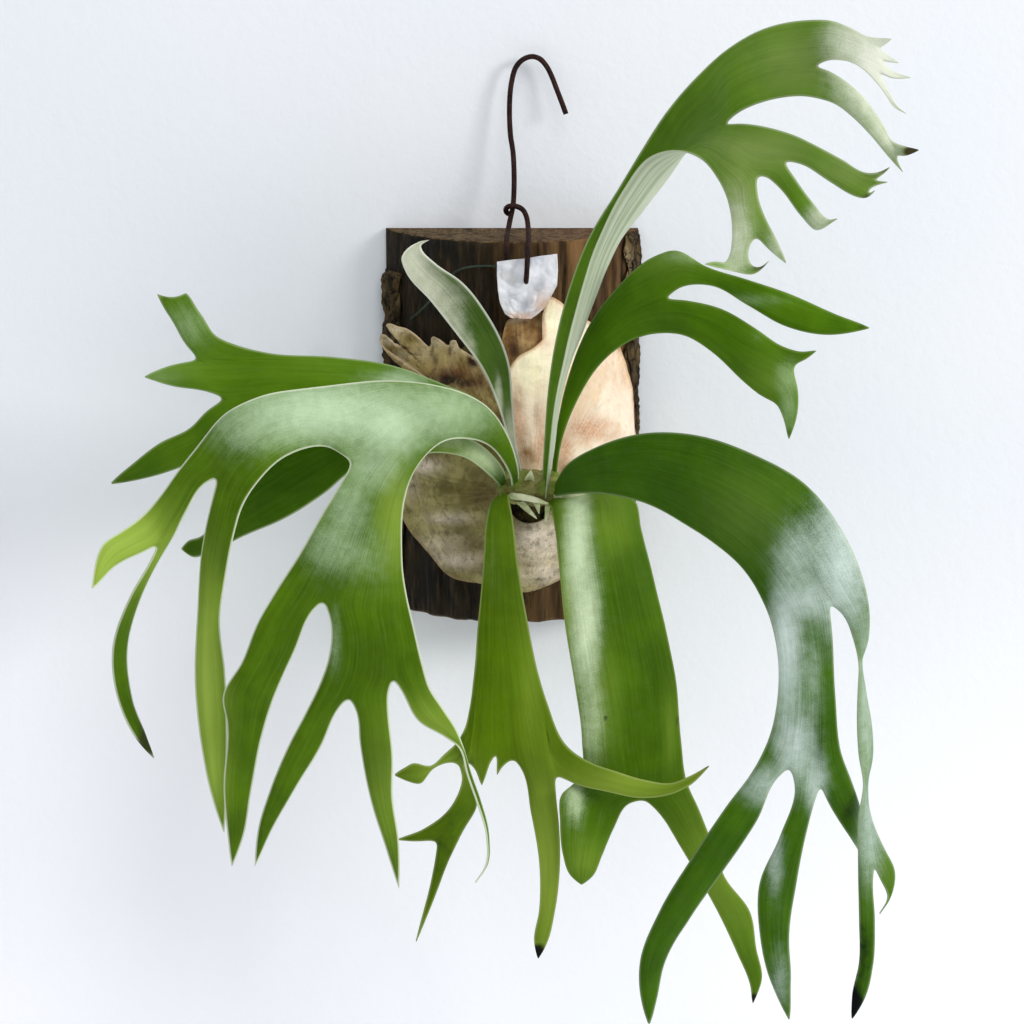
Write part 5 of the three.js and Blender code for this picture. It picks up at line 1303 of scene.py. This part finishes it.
def mossMaterial():
    material, tree, spot = newMaterial("mossAndRoots")
    tuft = noiseOf(tree, spot, 700.0, 6.0, 0.7, 0.6)
    colour = coat(tree, (34, 26, 14), cloudShare(tree, spot, 120.0, 0.15), (86, 78, 38))
    colour = coat(tree, colour, fit(tree, tuft, 0.5, 0.72, 0, 0.6), (130, 112, 66))
    colour = coat(tree, colour, fit(tree, tuft, 0.45, 0.3), (14, 11, 6))
    return finishMaterial(material, colour, (tuft, 1.0, 0.85), tuft, 0.0022, 0.15)


mossPoints, mossQuads = makeMoss()
makePiece("moss_cushion", mossPoints, mossQuads, mossMaterial(), ["moss_pad"])
print("moss", len(mossQuads), "faces")

# ---- shield fronds

shieldFoot = {"place": (531, 488), "radius": 0.007}
shieldShapes = {
    "shield_frond_left_dry": {
        "lift": 0.0015, "curl": 0.003, "overBark": 0.006, "hollow": 0, "sunken": 0.0022,
        "slot": "dry_shield",
        "edge": [
            (446, 392), (433, 380), (416, 369), (403, 359), (393, 350), (386, 344), (383, 337), (384, 334),
            (392, 337), (399, 343), (402, 345), (397, 335), (391, 325), (392, 323), (402, 327), (413, 330),
            (423, 337), (431, 346), (433, 338), (436, 336), (443, 340), (449, 345), (453, 340), (457, 340),
            (461, 347), (468, 353), (479, 362), (489, 377), (498, 398)],
        "pale": [
            (388, 340, 12, 5, 0.8), (397, 329, 12, 6, 0.9), (438, 341, 8, 7, 0.9), (456, 346, 8, 8, 0.7),
            (424, 352, 14, 10, 0.4), (404, 354, 12, 6, 0.4)],
        "warm": [(454, 374, 26, 9, 1.0), (476, 382, 16, 9, 0.9), (412, 350, 12, 4, 0.3)],
        # painted shade: between the lobes, in the hollow and under the curled lobe
        "stained": [
            (404, 348, 6, 2, 0.6), (413, 354, 8, 2.2, 0.5), (432, 350, 2.2, 8, 0.6), (437, 361, 3, 8, 0.4),
            (450, 351, 2.2, 8, 0.5), (474, 360, 8, 8, 1.1), (448, 381, 20, 7, 1.0), (466, 384, 14, 6, 0.8)]},
    "shield_frond_upper": {
        "lift": 0.0015, "curl": 0.001, "overBark": 0, "hollow": 0, "sunken": 0, "slot": "brown_shield",
        "edge": [
            (503, 385), (502, 360), (503, 335), (508, 320), (520, 314), (534, 312), (545, 314), (550, 330),
            (549, 360)],
        "pale": [(512, 318, 14, 5, 0.7), (548, 325, 6, 16, 0.8)], "warm": [(540, 340, 8, 12, 0.8)],
        "stained": [(514, 350, 6, 10, 0.7)]},
    "shield_frond_lower": {
        "lift": 0.0034, "curl": 0.0015, "overBark": 0, "hollow": 0.013, "sunken": 0, "slot": "olive_shield",
        "edge": [
            (505, 425), (488, 408), (465, 410), (440, 423), (418, 442), (403, 465), (399, 490), (402, 510),
            (409, 526), (420, 541), (434, 559), (447, 573), (460, 579), (478, 582), (500, 588), (523, 591),
            (541, 587), (560, 579), (580, 569), (600, 553), (615, 533), (622, 515)],
        # the first two pale spots are pale paper with a painted highlight
        "pale": [
            (541, 538, 26, 26, 1.3), (546, 572, 24, 16, 0.8), (424, 466, 20, 8, 0.75),
            (450, 518, 26, 7, 0.55), (440, 545, 30, 14, 0.4), (412, 488, 8, 16, 0.4),
            (520, 578, 30, 8, 0.5), (452, 560, 40, 10, 0.6)],
        # the last warm spot is a painted shadow of the middle frond
        "warm": [(484, 496, 20, 20, 0.8), (520, 520, 30, 10, 0.4), (472, 542, 14, 12, 0.5)],
        # painted shade: a band under the fronds above and lines in the wrinkles
        "stained": [
            (440, 450, 24, 5, 0.4), (428, 486, 26, 4, 0.45), (470, 474, 30, 10, 0.35),
            (410, 512, 12, 5, 0.4), (446, 532, 24, 3, 0.35), (530, 564, 26, 2.2, 0.4),
            (556, 558, 20, 2.2, 0.35), (541, 579, 18, 2.2, 0.3)]},
    "shield_frond_right": {
        "lift": 0.0053, "curl": 0.001, "overBark": 0, "hollow": 0, "sunken": 0, "slot": "pale_shield",
        "edge": [
            (576, 524), (596, 524), (615, 515), (630, 498), (639, 475), (638, 452), (635, 431), (633, 411),
            (630, 393), (627, 373), (623, 356), (617, 343), (606, 332), (590, 322), (572, 312), (558, 300),
            (549, 297), (543, 313), (543, 338), (532, 348), (520, 355), (511, 366), (506, 390), (504, 420),
            (504, 445)],
        "pale": [(532, 368, 24, 34, 0.9), (550, 320, 10, 26, 0.7)],
        # the two spots at the top right, under the upper right frond's margin, are painted shade
        "warm": [
            (585, 428, 26, 16, 1.0), (566, 450, 10, 24, 0.8), (600, 436, 26, 8, 0.6),
            (620, 380, 16, 30, 0.35), (516, 425, 13, 34, 0.75), (540, 430, 8, 34, 0.6),
            (600, 350, 30, 10, 0.3), (536, 344, 16, 6, 0.5), (636, 390, 7, 40, 0.5)],
        "stained": [
            (620, 348, 4, 5, 1.0), (525, 458, 12, 15, 1.0), (521, 436, 9, 12, 0.65), (562, 468, 8, 12, 0.7),
            (515, 402, 9, 22, 0.8), (536, 412, 4, 16, 0.3), (546, 455, 4, 20, 0.5), (586, 495, 24, 4, 0.9)]},
}
shieldDetail = {"ribsPerEdge": 11, "rings": 76, "thickness": 0.0008, "wrinkle": 0.0006, "veins": 0.0001,
                "paleWrinkle": 0.0008, "frill": 0.0009, "barkFrom": 0.046, "barkFull": 0.064}


# A shield frond: a fan of ribs from its foot by the crown out to its edge, laid on the
# mound, lifting at its rim, with wrinkles across and fine veins along the ribs. Its foot is
# tucked under the crown, and stops short of it by "hollow" below the crown.
def makeShield(shape, seed):
    def liftAt(arc, up):
        onBark = smooth(np.abs(arc), shieldDetail["barkFrom"], shieldDetail["barkFull"])
        return moundLift(arc, up) + shape["lift"] + shape["overBark"] * onBark

    footArc, footUp = seenOn(*shieldFoot["place"], liftAt)
    edge = np.array(shape["edge"], float)
    rib = np.linspace(0, len(edge) - 1, (len(edge) - 1) * shieldDetail["ribsPerEdge"] + 1)
    soft = smoothLine(np.column_stack([edge, np.zeros(len(edge))]), 0.4)
    along = lengthAlong(edge)
    wanted = np.interp(rib, np.arange(len(edge)), along)
    softLength = np.linspace(0, along[-1], len(soft))
    rimArc, rimUp = seenOn(*(np.interp(wanted, softLength, soft[:, axis]) for axis in (0, 1)), liftAt)
    span = np.hypot(rimArc - footArc, rimUp - footUp)
    ring = np.linspace(0, 1, shieldDetail["rings"] + 1)[:, None]
    downward = np.maximum(0, footUp - rimUp) / span
    start = (shieldFoot["radius"] + shape["hollow"] * downward ** 3) / span
    share = start + (1 - start) * ring
    arc, up = footArc + (rimArc - footArc) * share, footUp + (rimUp - footUp) * share
    away = share * span
    bearing = np.arctan2(rimUp - footUp, rimArc - footArc) + 0 * share
    curl = shape["curl"] * (0.7 + 0.3 * np.sin(1.7 * rib)) * share ** 5
    wrinkle = cloudNoise(away / 0.009 + 0.8 * np.sin(3 * bearing), bearing * 2.2, seed, 2)
    veins = 1 - np.abs(cloudNoise(bearing * 16, away / 0.03, seed + 5, 2)) * 2
    frill = cloudNoise(rib * 0.9, 0 * rib, seed + 2, 3) * smooth(share, 0.75, 1)
    lift = (liftAt(arc, up) + curl + shieldDetail["wrinkle"] * wrinkle * smooth(share, 0.15, 0.5)
            + shieldDetail["veins"] * veins + shieldDetail["frill"] * frill)
    points = onLog(arc, up, lift).reshape(-1, 3)
    pale, stained = (spotsOn(points, shape[mark]).reshape(arc.shape) for mark in ("pale", "stained"))
    crinkle = cloudNoise(away / 0.004 + 0.7 * np.sin(5 * bearing), bearing * 3.5, seed + 9, 3)
    lift = lift - shape["sunken"] * stained + shieldDetail["paleWrinkle"] * pale * crinkle
    points = onLog(arc, up, lift).reshape(-1, 3)
    # one mark holds both stains and painted shade
    marks = {mark: spotsOn(points, shape[mark]) for mark in ("pale", "warm", "stained")}
    marks["margin"] = distanceTo(points, points[-len(rib):])
    return closedSheet(points, gridQuads(*arc.shape)[:, ::-1], shieldDetail["thickness"], marks,
                       np.stack([bearing, away], -1).reshape(-1, 2))


# Dry papery leaf: two tones in clouds, streaks along its ribs, darker veins and stains, painted
# shade where the marks lie between lobes, in hollows, in wrinkles and under fronds, a dark ragged rim.
def shieldMaterial(name, tones):
    material, tree, spot = newMaterial(name)
    uv = put(tree, "TexCoord").outputs["UV"]
    streak = noiseOf(tree, stretched(tree, uv, (46.0, 32.0, 1.0)), 1.0, 5.0, 0.62, 0.3)
    wide = noiseOf(tree, stretched(tree, uv, (9.0, 40.0, 1.0)), 1.0, 3.0, 0.5, 0.5)
    cloud, stain = cloudShare(tree, spot, 42.0, 0.16), cloudShare(tree, spot, 75.0, 0.1)
    speck = noiseOf(tree, spot, 900.0, 3.0, 0.6)
    tone = fit(tree, times(tree, wide, 0.5, times(tree, cloud, 0.5)), 0.3, 0.7)
    colour = coat(tree, tones["dark"], tone, tones["light"])
    broken = fit(tree, speck, 0.3, 0.7, 0.75, 1.15)
    for mark in ("pale", "warm"):
        colour = coat(tree, colour, times(tree, markOf(tree, mark), broken, clamp=True), tones[mark])
    colour = coat(tree, colour, fit(tree, streak, 0.45, 0.75, 0, tones["streakShare"]), tones["streak"])
    clouded = times(tree, stain, tones["stainShare"])
    # darker where the marks say: stains, and painted shade
    stained = times(tree, markOf(tree, "stained"), times(tree, stain, 0.5, 0.6), clouded, clamp=True)
    colour = coat(tree, colour, stained, tones["stain"])
    ragged = times(tree, speck, -0.002, markOf(tree, "margin"))
    colour = coat(tree, colour, fit(tree, ragged, 0.0012, -0.0008, 0, 0.8), tones["rim"])
    pores = noiseOf(tree, spot, 260.0, 6.0, 0.68, 0.3)
    colour = coat(tree, colour, times(tree, fit(tree, pores, 0.52, 0.34), tones["mottle"]), tones["stain"])
    height = times(tree, streak, 0.4, times(tree, wide, 0.4, pores))
    return finishMaterial(material, colour, (streak, 0.75, 0.55), height, 0.0008, 0.2)


# the darkest tone of each colours both stains and painted shade
shieldTones = {
    "shield_frond_left_dry": {
        "dark": (136, 116, 58), "light": (184, 162, 104), "streak": (206, 184, 130),
        "pale": (222, 208, 174), "warm": (112, 64, 28), "stain": (46, 28, 10), "streakShare": 0.4,
        "stainShare": 0.22, "mottle": 0.45, "rim": (198, 176, 140)},
    "shield_frond_upper": {
        "dark": (122, 88, 44), "light": (176, 144, 92), "streak": (198, 170, 120), "pale": (226, 208, 182),
        "warm": (120, 74, 34), "stain": (62, 38, 14), "streakShare": 0.35, "stainShare": 0.3, "mottle": 0.5,
        "rim": (150, 116, 74)},
    "shield_frond_lower": {
        "dark": (116, 106, 50), "light": (164, 154, 94), "streak": (178, 168, 118), "pale": (250, 230, 212),
        "warm": (78, 56, 28), "stain": (74, 62, 24), "streakShare": 0.35, "stainShare": 0.3, "mottle": 0.5,
        "rim": (150, 126, 92)},
    "shield_frond_right": {
        "dark": (240, 212, 178), "light": (252, 238, 214), "streak": (255, 246, 226),
        "pale": (252, 246, 204), "warm": (204, 152, 114), "stain": (142, 104, 62), "streakShare": 0.35,
        "stainShare": 0.1, "mottle": 0.12, "rim": (200, 160, 118)},
}

for shieldNumber, (shieldNode, shieldShape) in enumerate(shieldShapes.items()):
    shieldName = shieldNode.replace("shield_frond", "shield_leaf")
    shieldPoints, shieldQuads, shieldMarks, shieldUv = makeShield(shieldShape, 70 + shieldNumber * 11)
    cells = shieldDetail["rings"] * (len(shieldShape["edge"]) - 1) * shieldDetail["ribsPerEdge"]
    makePiece(shieldName, shieldPoints, shieldQuads, shieldMaterial(shieldName, shieldTones[shieldNode]),
              [shieldNode], shieldMarks, shieldUv, crispFrom=2 * cells)
    print(shieldName, len(shieldQuads), "faces")

# ---- crown

crown = {"middle": (531, 488, 80.6), "size": (0.019, 0.010, 0.010), "shrink": 0.93, "rings": 90, "spokes": 170,
         "bumps": 0.0006, "ridges": 0.0005, "sheath": 0.0038, "sheathReach": 0.0045, "shootThickness": 0.0012}
youngShoots = [
    strip([(527, 485, 85, 533, 485, 85, 0.3), (525, 478, 91, 534, 478, 91, 0.3)], tip=(531, 471, 93)),
    strip([(518, 496, 86, 514, 499, 86, 0.2), (529, 507, 89, 524, 510, 89, 0.2)], tip=(537, 519, 89)),
    strip([(535, 495, 87, 530, 497, 87, 0.2), (540, 505, 91, 535, 506, 91, 0.2)], tip=(539, 514, 91)),
    strip([(550, 500, 86, 545, 501, 86, 0.2), (550, 508, 90, 545, 509, 90, 0.2)], tip=(545, 525, 90)),
    strip([(560, 499, 90, 560, 491, 90, 0.3), (572, 500, 95, 572, 490, 95, 0.3)], tip=(587, 495, 97)),
    strip([(511, 499, 88, 509, 492, 88, 0.3), (523, 500, 92, 522, 494, 92, 0.3),
           (538, 503, 92, 538, 498, 92, 0.3)], tip=(549, 504, 90)),
]


# The crown: an egg shape with bumps of cloud noise and hairy ridges that run out from its
# middle, swollen into a sheath round the foot of each frond. "sheath" marks those.
def makeCrown():
    centre = at([crown["middle"]])[0]
    polar = np.linspace(0, np.pi, crown["rings"] + 1)[:, None]
    turn = 2 * np.pi * np.arange(crown["spokes"]) / crown["spokes"]
    direction = np.stack(np.broadcast_arrays(np.sin(polar) * np.cos(turn), np.sin(polar) * np.sin(turn),
                                             np.cos(polar)), -1).reshape(-1, 3)
    bearing = np.arctan2(direction[:, 2], direction[:, 0])
    bump = cloudNoise(direction[:, 0] * 5, direction[:, 2] * 5, 91)
    ridge = 1 - 2 * np.abs(cloudNoise(bearing * 9, direction[:, 1] * 1.5, 95, 3))
    relief = crown["bumps"] * bump + crown["ridges"] * ridge
    points = centre + direction * (np.array(crown["size"]) * crown["shrink"] + relief[:, None])
    points, quads = weld(points, gridQuads(crown["rings"] + 1, crown["spokes"], wrap=True)[:, ::-1])
    sheath = np.zeros(len(points))
    for shape in frondShapes.values():
        rows = at(np.array(shape["rows"][:2], float)[:, :6].reshape(2, 2, 3)).mean(1)
        ahead = (rows[1] - rows[0]) / np.linalg.norm(rows[1] - rows[0])
        near = np.exp(-(np.linalg.norm(points - rows[0], axis=1) / crown["sheathReach"]) ** 2)
        points = points + near[:, None] * ahead * crown["sheath"]
        sheath = np.maximum(sheath, near)
    return points, quads, sheath


# Hairy olive scales, greener where they sheathe a frond, and pale young shoots.
def crownMaterial():
    material, tree, spot = newMaterial("crownScales")
    hair = noiseOf(tree, stretched(tree, spot, (0.5, 1, 1)), 900.0, 5.0, 0.65, 0.6)
    cloud = cloudShare(tree, spot, 150.0, 0.14)
    colour = coat(tree, (100, 96, 46), cloud, (142, 140, 84))
    colour = coat(tree, colour, fit(tree, hair, 0.55, 0.75, 0, 0.4), (190, 184, 134))
    colour = coat(tree, colour, fit(tree, hair, 0.42, 0.3, 0, 0.8), (50, 40, 16))
    colour = coat(tree, colour, fit(tree, markOf(tree, "sheath"), 0.15, 0.8, 0, 0.85), (104, 126, 44))
    pale = coat(tree, (178, 186, 132), cloud, (226, 228, 192))
    colour = coat(tree, colour, markOf(tree, "shoot"), pale)
    return finishMaterial(material, colour, (hair, 0.85, 0.6), hair, 0.0007, 0.15)


# The crown, and the shoots as small fronds, as one mesh.
def makeCrownWithShoots():
    points, quads, sheath = makeCrown()
    blocks = [(points, quads)]
    for k, shape in enumerate(youngShoots):
        points, quads, uv, margin, thickness = growFrond(shape, 40 + k)
        blocks.append(closedSheet(points, quads, np.minimum(thickness, crown["shootThickness"]))[:2])
    points, quads = joined(blocks)
    onShoot = np.arange(len(points)) >= len(sheath)
    return points, quads, {"sheath": np.pad(sheath, (0, len(points) - len(sheath))), "shoot": onShoot * 1.0}


crownPoints, crownQuads, crownMarks = makeCrownWithShoots()
makePiece("crown_and_shoots", crownPoints, crownQuads, crownMaterial(), ["crown"], crownMarks)
print("crown", len(crownQuads), "faces")

# ---- wires and tag

wire = {"diameter": 0.0028, "sides": 20, "step": 0.0012, "unevenness": 0.05,
        "tieDiameter": 0.0012, "tieSides": 12, "tieStep": 0.0008, "gap": 0.0003}
hookRoute = [
    (566, 114, 10), (562, 103, 9), (557, 90, 8), (552, 77, 7), (547, 67, 6.5), (540, 59, 6), (532, 56.5, 6),
    (523, 59.5, 6), (516, 67, 6.5), (512, 80, 7), (510, 95, 8), (509.5, 115, 9), (510.5, 135, 11),
    (513, 152, 13), (514, 170, 15), (514, 190, 18), (513, 206, 20.5), (510.5, 218, 23), (508.5, 228, 29),
    (507.3, 234, 37), (506.8, 239, 45.5), (506.5, 250, 50.2), (507, 262, 50.6), (507.5, 270, 51),
    (508, 276.4, 49), (508, 276.2, 45), (508, 273, 38)]
rightLegRoute = [
    (511, 214, 21), (507, 213, 19), (506, 209, 21.5), (510, 206, 25), (517, 206.5, 25), (523, 210, 24),
    (526.5, 217, 25), (528, 226, 29), (528.5, 233, 38), (528.5, 239, 46), (528, 247, 54), (527.5, 257, 59.5),
    (527, 268, 61.5), (526.5, 276.5, 61), (526, 282, 57), (526, 281.8, 52), (526, 278.6, 46), (526, 275, 38)]
tieRoute = [(518, 270), (506, 267), (497, 266.5), (484, 266), (470, 267), (457, 271), (443, 284), (430, 301),
            (420, 311), (411, 319)]


# Rust over dark steel: clouds of orange and brown, with pits.
def rustMaterial(name, steel, rust, powder):
    material, tree, spot = newMaterial(name)
    pit = noiseOf(tree, spot, 1500.0, 4.0, 0.65)
    colour = coat(tree, steel, cloudShare(tree, spot, 150.0, 0.14), rust)
    colour = coat(tree, colour, fit(tree, pit, 0.52, 0.7, 0, 0.7), powder)
    colour = coat(tree, colour, fit(tree, pit, 0.42, 0.32), (16, 10, 8))
    return finishMaterial(material, colour, (pit, 0.9, 0.6), pit, 0.0003, 0.2, metallic=0.3)


# The hook and the right leg, two rods in one mesh, a little uneven along their length.
def makeHook():
    blocks, uvs = [], []
    for k, route in enumerate((hookRoute, rightLegRoute)):
        path = smoothLine(at(route), wire["step"])
        uneven = cloudNoise(np.arange(len(path)) / 4, 0 * path[:, 0], 33 + k)
        radius = wire["diameter"] / 2 * (1 + wire["unevenness"] * uneven)
        points, quads, uv = rod(path, radius, wire["sides"])
        blocks.append((points, quads))
        uvs.append(uv)
    return *joined(blocks), np.concatenate(uvs)


# The tie wire, lying on the log.
def makeTie():
    radius = wire["tieDiameter"] / 2
    lift = wire["gap"] + radius
    arc, up = seenOn(*np.array(tieRoute, float).T, lambda arc, up: lift + 0 * arc)
    return rod(smoothLine(onLog(arc, up, lift), wire["tieStep"]), radius, wire["tieSides"])


hookPoints, hookQuads, hookUv = makeHook()
hookRust = rustMaterial("rustyHook", (24, 14, 14), (50, 27, 22), (84, 52, 40))
makePiece("rusty_hook", hookPoints, hookQuads, hookRust, ["hook_wire"], uv=hookUv)
tiePoints, tieQuads, tieUv = makeTie()
tieRust = rustMaterial("tieStrand", (46, 58, 48), (58, 74, 62), (84, 100, 88))
makePiece("tie_strand", tiePoints, tieQuads, tieRust, ["tie_wire"], uv=tieUv)

tagShape = {
    "left": [(497, 262, 57), (497, 276, 57), (498, 291, 57), (500, 303, 57), (505, 314, 56.5),
             (511, 318, 56)],
    "right": [(557, 254, 57.5), (558, 270, 57.5), (557, 285, 57.5), (551, 297, 57), (543, 310, 56.5),
              (531, 319, 56)],
    "columns": 110, "rows": 110, "thickness": 0.0005, "crumple": 1.4, "crease": 0.0011,
    "soiled": [(545, 306, 12, 14, 0.8), (520, 317, 22, 5, 0.8), (526, 277, 1.6, 3, 0.7)]}


# The foil tag: a grid between its two edges, waved as the solid is, with sharp creases from
# folded noise.
def makeTag():
    down = np.linspace(0, 1, tagShape["rows"] + 1)
    left, right = (np.stack([np.interp(down * 5, np.arange(6), np.array(tagShape[side], float)[:, axis])
                             for axis in range(3)], -1) for side in ("left", "right"))
    across = np.linspace(0, 1, tagShape["columns"] + 1)[None, :, None]
    places = left[:, None] + (right - left)[:, None] * across
    i, j = 5 * across[..., 0], 5 * down[:, None]
    places[..., 2] += tagShape["crumple"] * np.sin(2.3 * i + 1.9 * j) * np.sin(np.pi * across[..., 0])
    points = at(places)
    fold = np.abs(cloudNoise(i * 0.55 + 0.25 * j, j * 0.6 - 0.2 * i, 51, 2))
    fine = np.abs(cloudNoise(i * 1.5 - 0.6 * j, j * 1.4 + 0.5 * i, 55, 2))
    points[..., 1] -= tagShape["crease"] * (1.8 * fold + 0.5 * fine - 0.8)
    quads = gridQuads(*points.shape[:2])[:, ::-1]
    points, quads, marks = closedSheet(points.reshape(-1, 3), quads, tagShape["thickness"])[:3]
    return points, quads, {**marks, "soiled": spotsOn(points, tagShape["soiled"])}


def tagMaterial():
    material, tree, spot = newMaterial("crumpledFoil")
    crease = noiseOf(tree, spot, 110.0, 3.0, 0.5, 0.8)
    colour = coat(tree, (190, 193, 202), cloudShare(tree, spot, 60.0, 0.2), (244, 244, 248))
    # painted shade: darker where the crease noise is high
    colour = coat(tree, colour, fit(tree, crease, 0.56, 0.7, 0, 0.3), (196, 190, 184))
    # pinkish brown patches low on the right, along the bottom edge and by the wire's hole
    colour = coat(tree, colour, markOf(tree, "soiled"), (214, 176, 150))
    return finishMaterial(material, colour, (crease, 0.55, 0.4), crease, 0.0008, 0.4, metallic=0.05)


tagPoints, tagQuads, tagMarks = makeTag()
makePiece("foil_tag", tagPoints, tagQuads, tagMaterial(), ["tag"], tagMarks)
print("wires and tag made")

# ---- wall, floor, light and camera

room = {"wall": (226, 230, 236), "floor": (236, 236, 238), "wallPlane": 0.0012, "halfWidth": 4.0,
        "floorHeight": -1.3, "ceiling": 3.0, "sky": (0.96, 0.975, 1.0, 1), "skyStrength": 0.66,
        "lightsAimAt": (0, -0.05, 0)}
lamps = {
    "windowLight": {"place": (2.7, -1.9, 1.3), "size": 1.1, "power": 58.0, "colour": (1.0, 0.985, 0.96)},
    "fillLight": {"place": (0.4, -2.0, 2.6), "size": 2.0, "power": 26.0, "colour": (1.0, 1.0, 1.0)},
}
picture = {"pixels": 1024, "sensor": 36, "furthest": 20}


# Painted plaster, with painted light that makes it a little brighter low down. A one-sided
# wall is seen from its front only, so that it doesn't hide the plant from behind.
def wallMaterial(name, tone, oneSided):
    material, tree, spot = newMaterial(name)
    grain = noiseOf(tree, spot, 160.0, 4.0, 0.6)
    cloud = noiseOf(tree, spot, 3.0, 2.0, 0.5)
    colour = coat(tree, tone, fit(tree, cloud, 0.3, 0.7, 0, 0.25), (246, 244, 240))
    # painted light: brighter low down
    colour = coat(tree, colour, fit(tree, partsOf(tree, spot)["Z"], 0.0, -0.35), (249, 250, 254))
    bump = put(tree, "Bump", {"Height": grain, "Distance": 0.0006, "Strength": 0.5})
    surface = put(tree, "BsdfPrincipled", {"Base Color": colour, "Normal": bump.outputs[0],
                                           "Roughness": 0.9}).outputs[0]
    if oneSided:
        # light still reaches the log's back, which all but touches the wall
        near = calc(tree, "LESS_THAN", put(tree, "LightPath").outputs["Ray Length"], 0.004)
        behind = calc(tree, "MAXIMUM", put(tree, "NewGeometry").outputs["Backfacing"], near)
        clear = put(tree, "BsdfTransparent").outputs[0]
        surface = put(tree, "MixShader", {0: behind, 1: surface, 2: clear}).outputs[0]
    put(tree, "OutputMaterial", {"Surface": surface})
    return material


def plane(name, corners, material):
    made = makePiece(name, np.array(corners, float), np.array([[0, 1, 2, 3]]), material, crispFrom=0)
    made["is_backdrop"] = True


half, wallPlane, low, high = room["halfWidth"], room["wallPlane"], room["floorHeight"], room["ceiling"]
plane("wall", [(-half, wallPlane, low), (half, wallPlane, low), (half, wallPlane, high),
               (-half, wallPlane, high)], wallMaterial("wallPaint", room["wall"], True))
plane("floor", [(-half, -half, low), (half, -half, low), (half, half, low), (-half, half, low)],
      wallMaterial("floorPaint", room["floor"], False))


def softLight(name, lamp):
    data = bpy.data.lights.new(name, "AREA")
    data.shape, data.size, data.energy, data.color = "DISK", lamp["size"], lamp["power"], lamp["colour"]
    light = bpy.data.objects.new(name, data)
    light.location = lamp["place"]
    direction = np.array(room["lightsAimAt"]) - np.array(lamp["place"])
    light.rotation_euler = Vector(direction).to_track_quat("-Z", "Y").to_euler()
    scene.collection.objects.link(light)


for lampName, lamp in lamps.items():
    softLight(lampName, lamp)
world = bpy.data.worlds.new("paleRoom")
world.use_nodes = True
world.node_tree.nodes["Background"].inputs["Color"].default_value = room["sky"]
world.node_tree.nodes["Background"].inputs["Strength"].default_value = room["skyStrength"]
scene.world = world
scene.view_settings.view_transform = "Standard"

camera = bpy.data.cameras.new("camera")
camera.sensor_width = picture["sensor"]
camera.lens = picture["sensor"] * eye["distance"] / (picture["pixels"] * paper["square"])
camera.clip_end = picture["furthest"]
cameraObject = bpy.data.objects.new("camera", camera)
cameraObject.location = eyePoint
cameraObject.rotation_euler = (math.pi / 2 - eye["pitch"], 0, 0)
scene.collection.objects.link(cameraObject)
scene.camera = cameraObject
print("room and camera made")

bpy.context.view_layer.update()
low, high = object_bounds()
print("box", [round(v, 4) for v in low], [round(v, 4) for v in high])
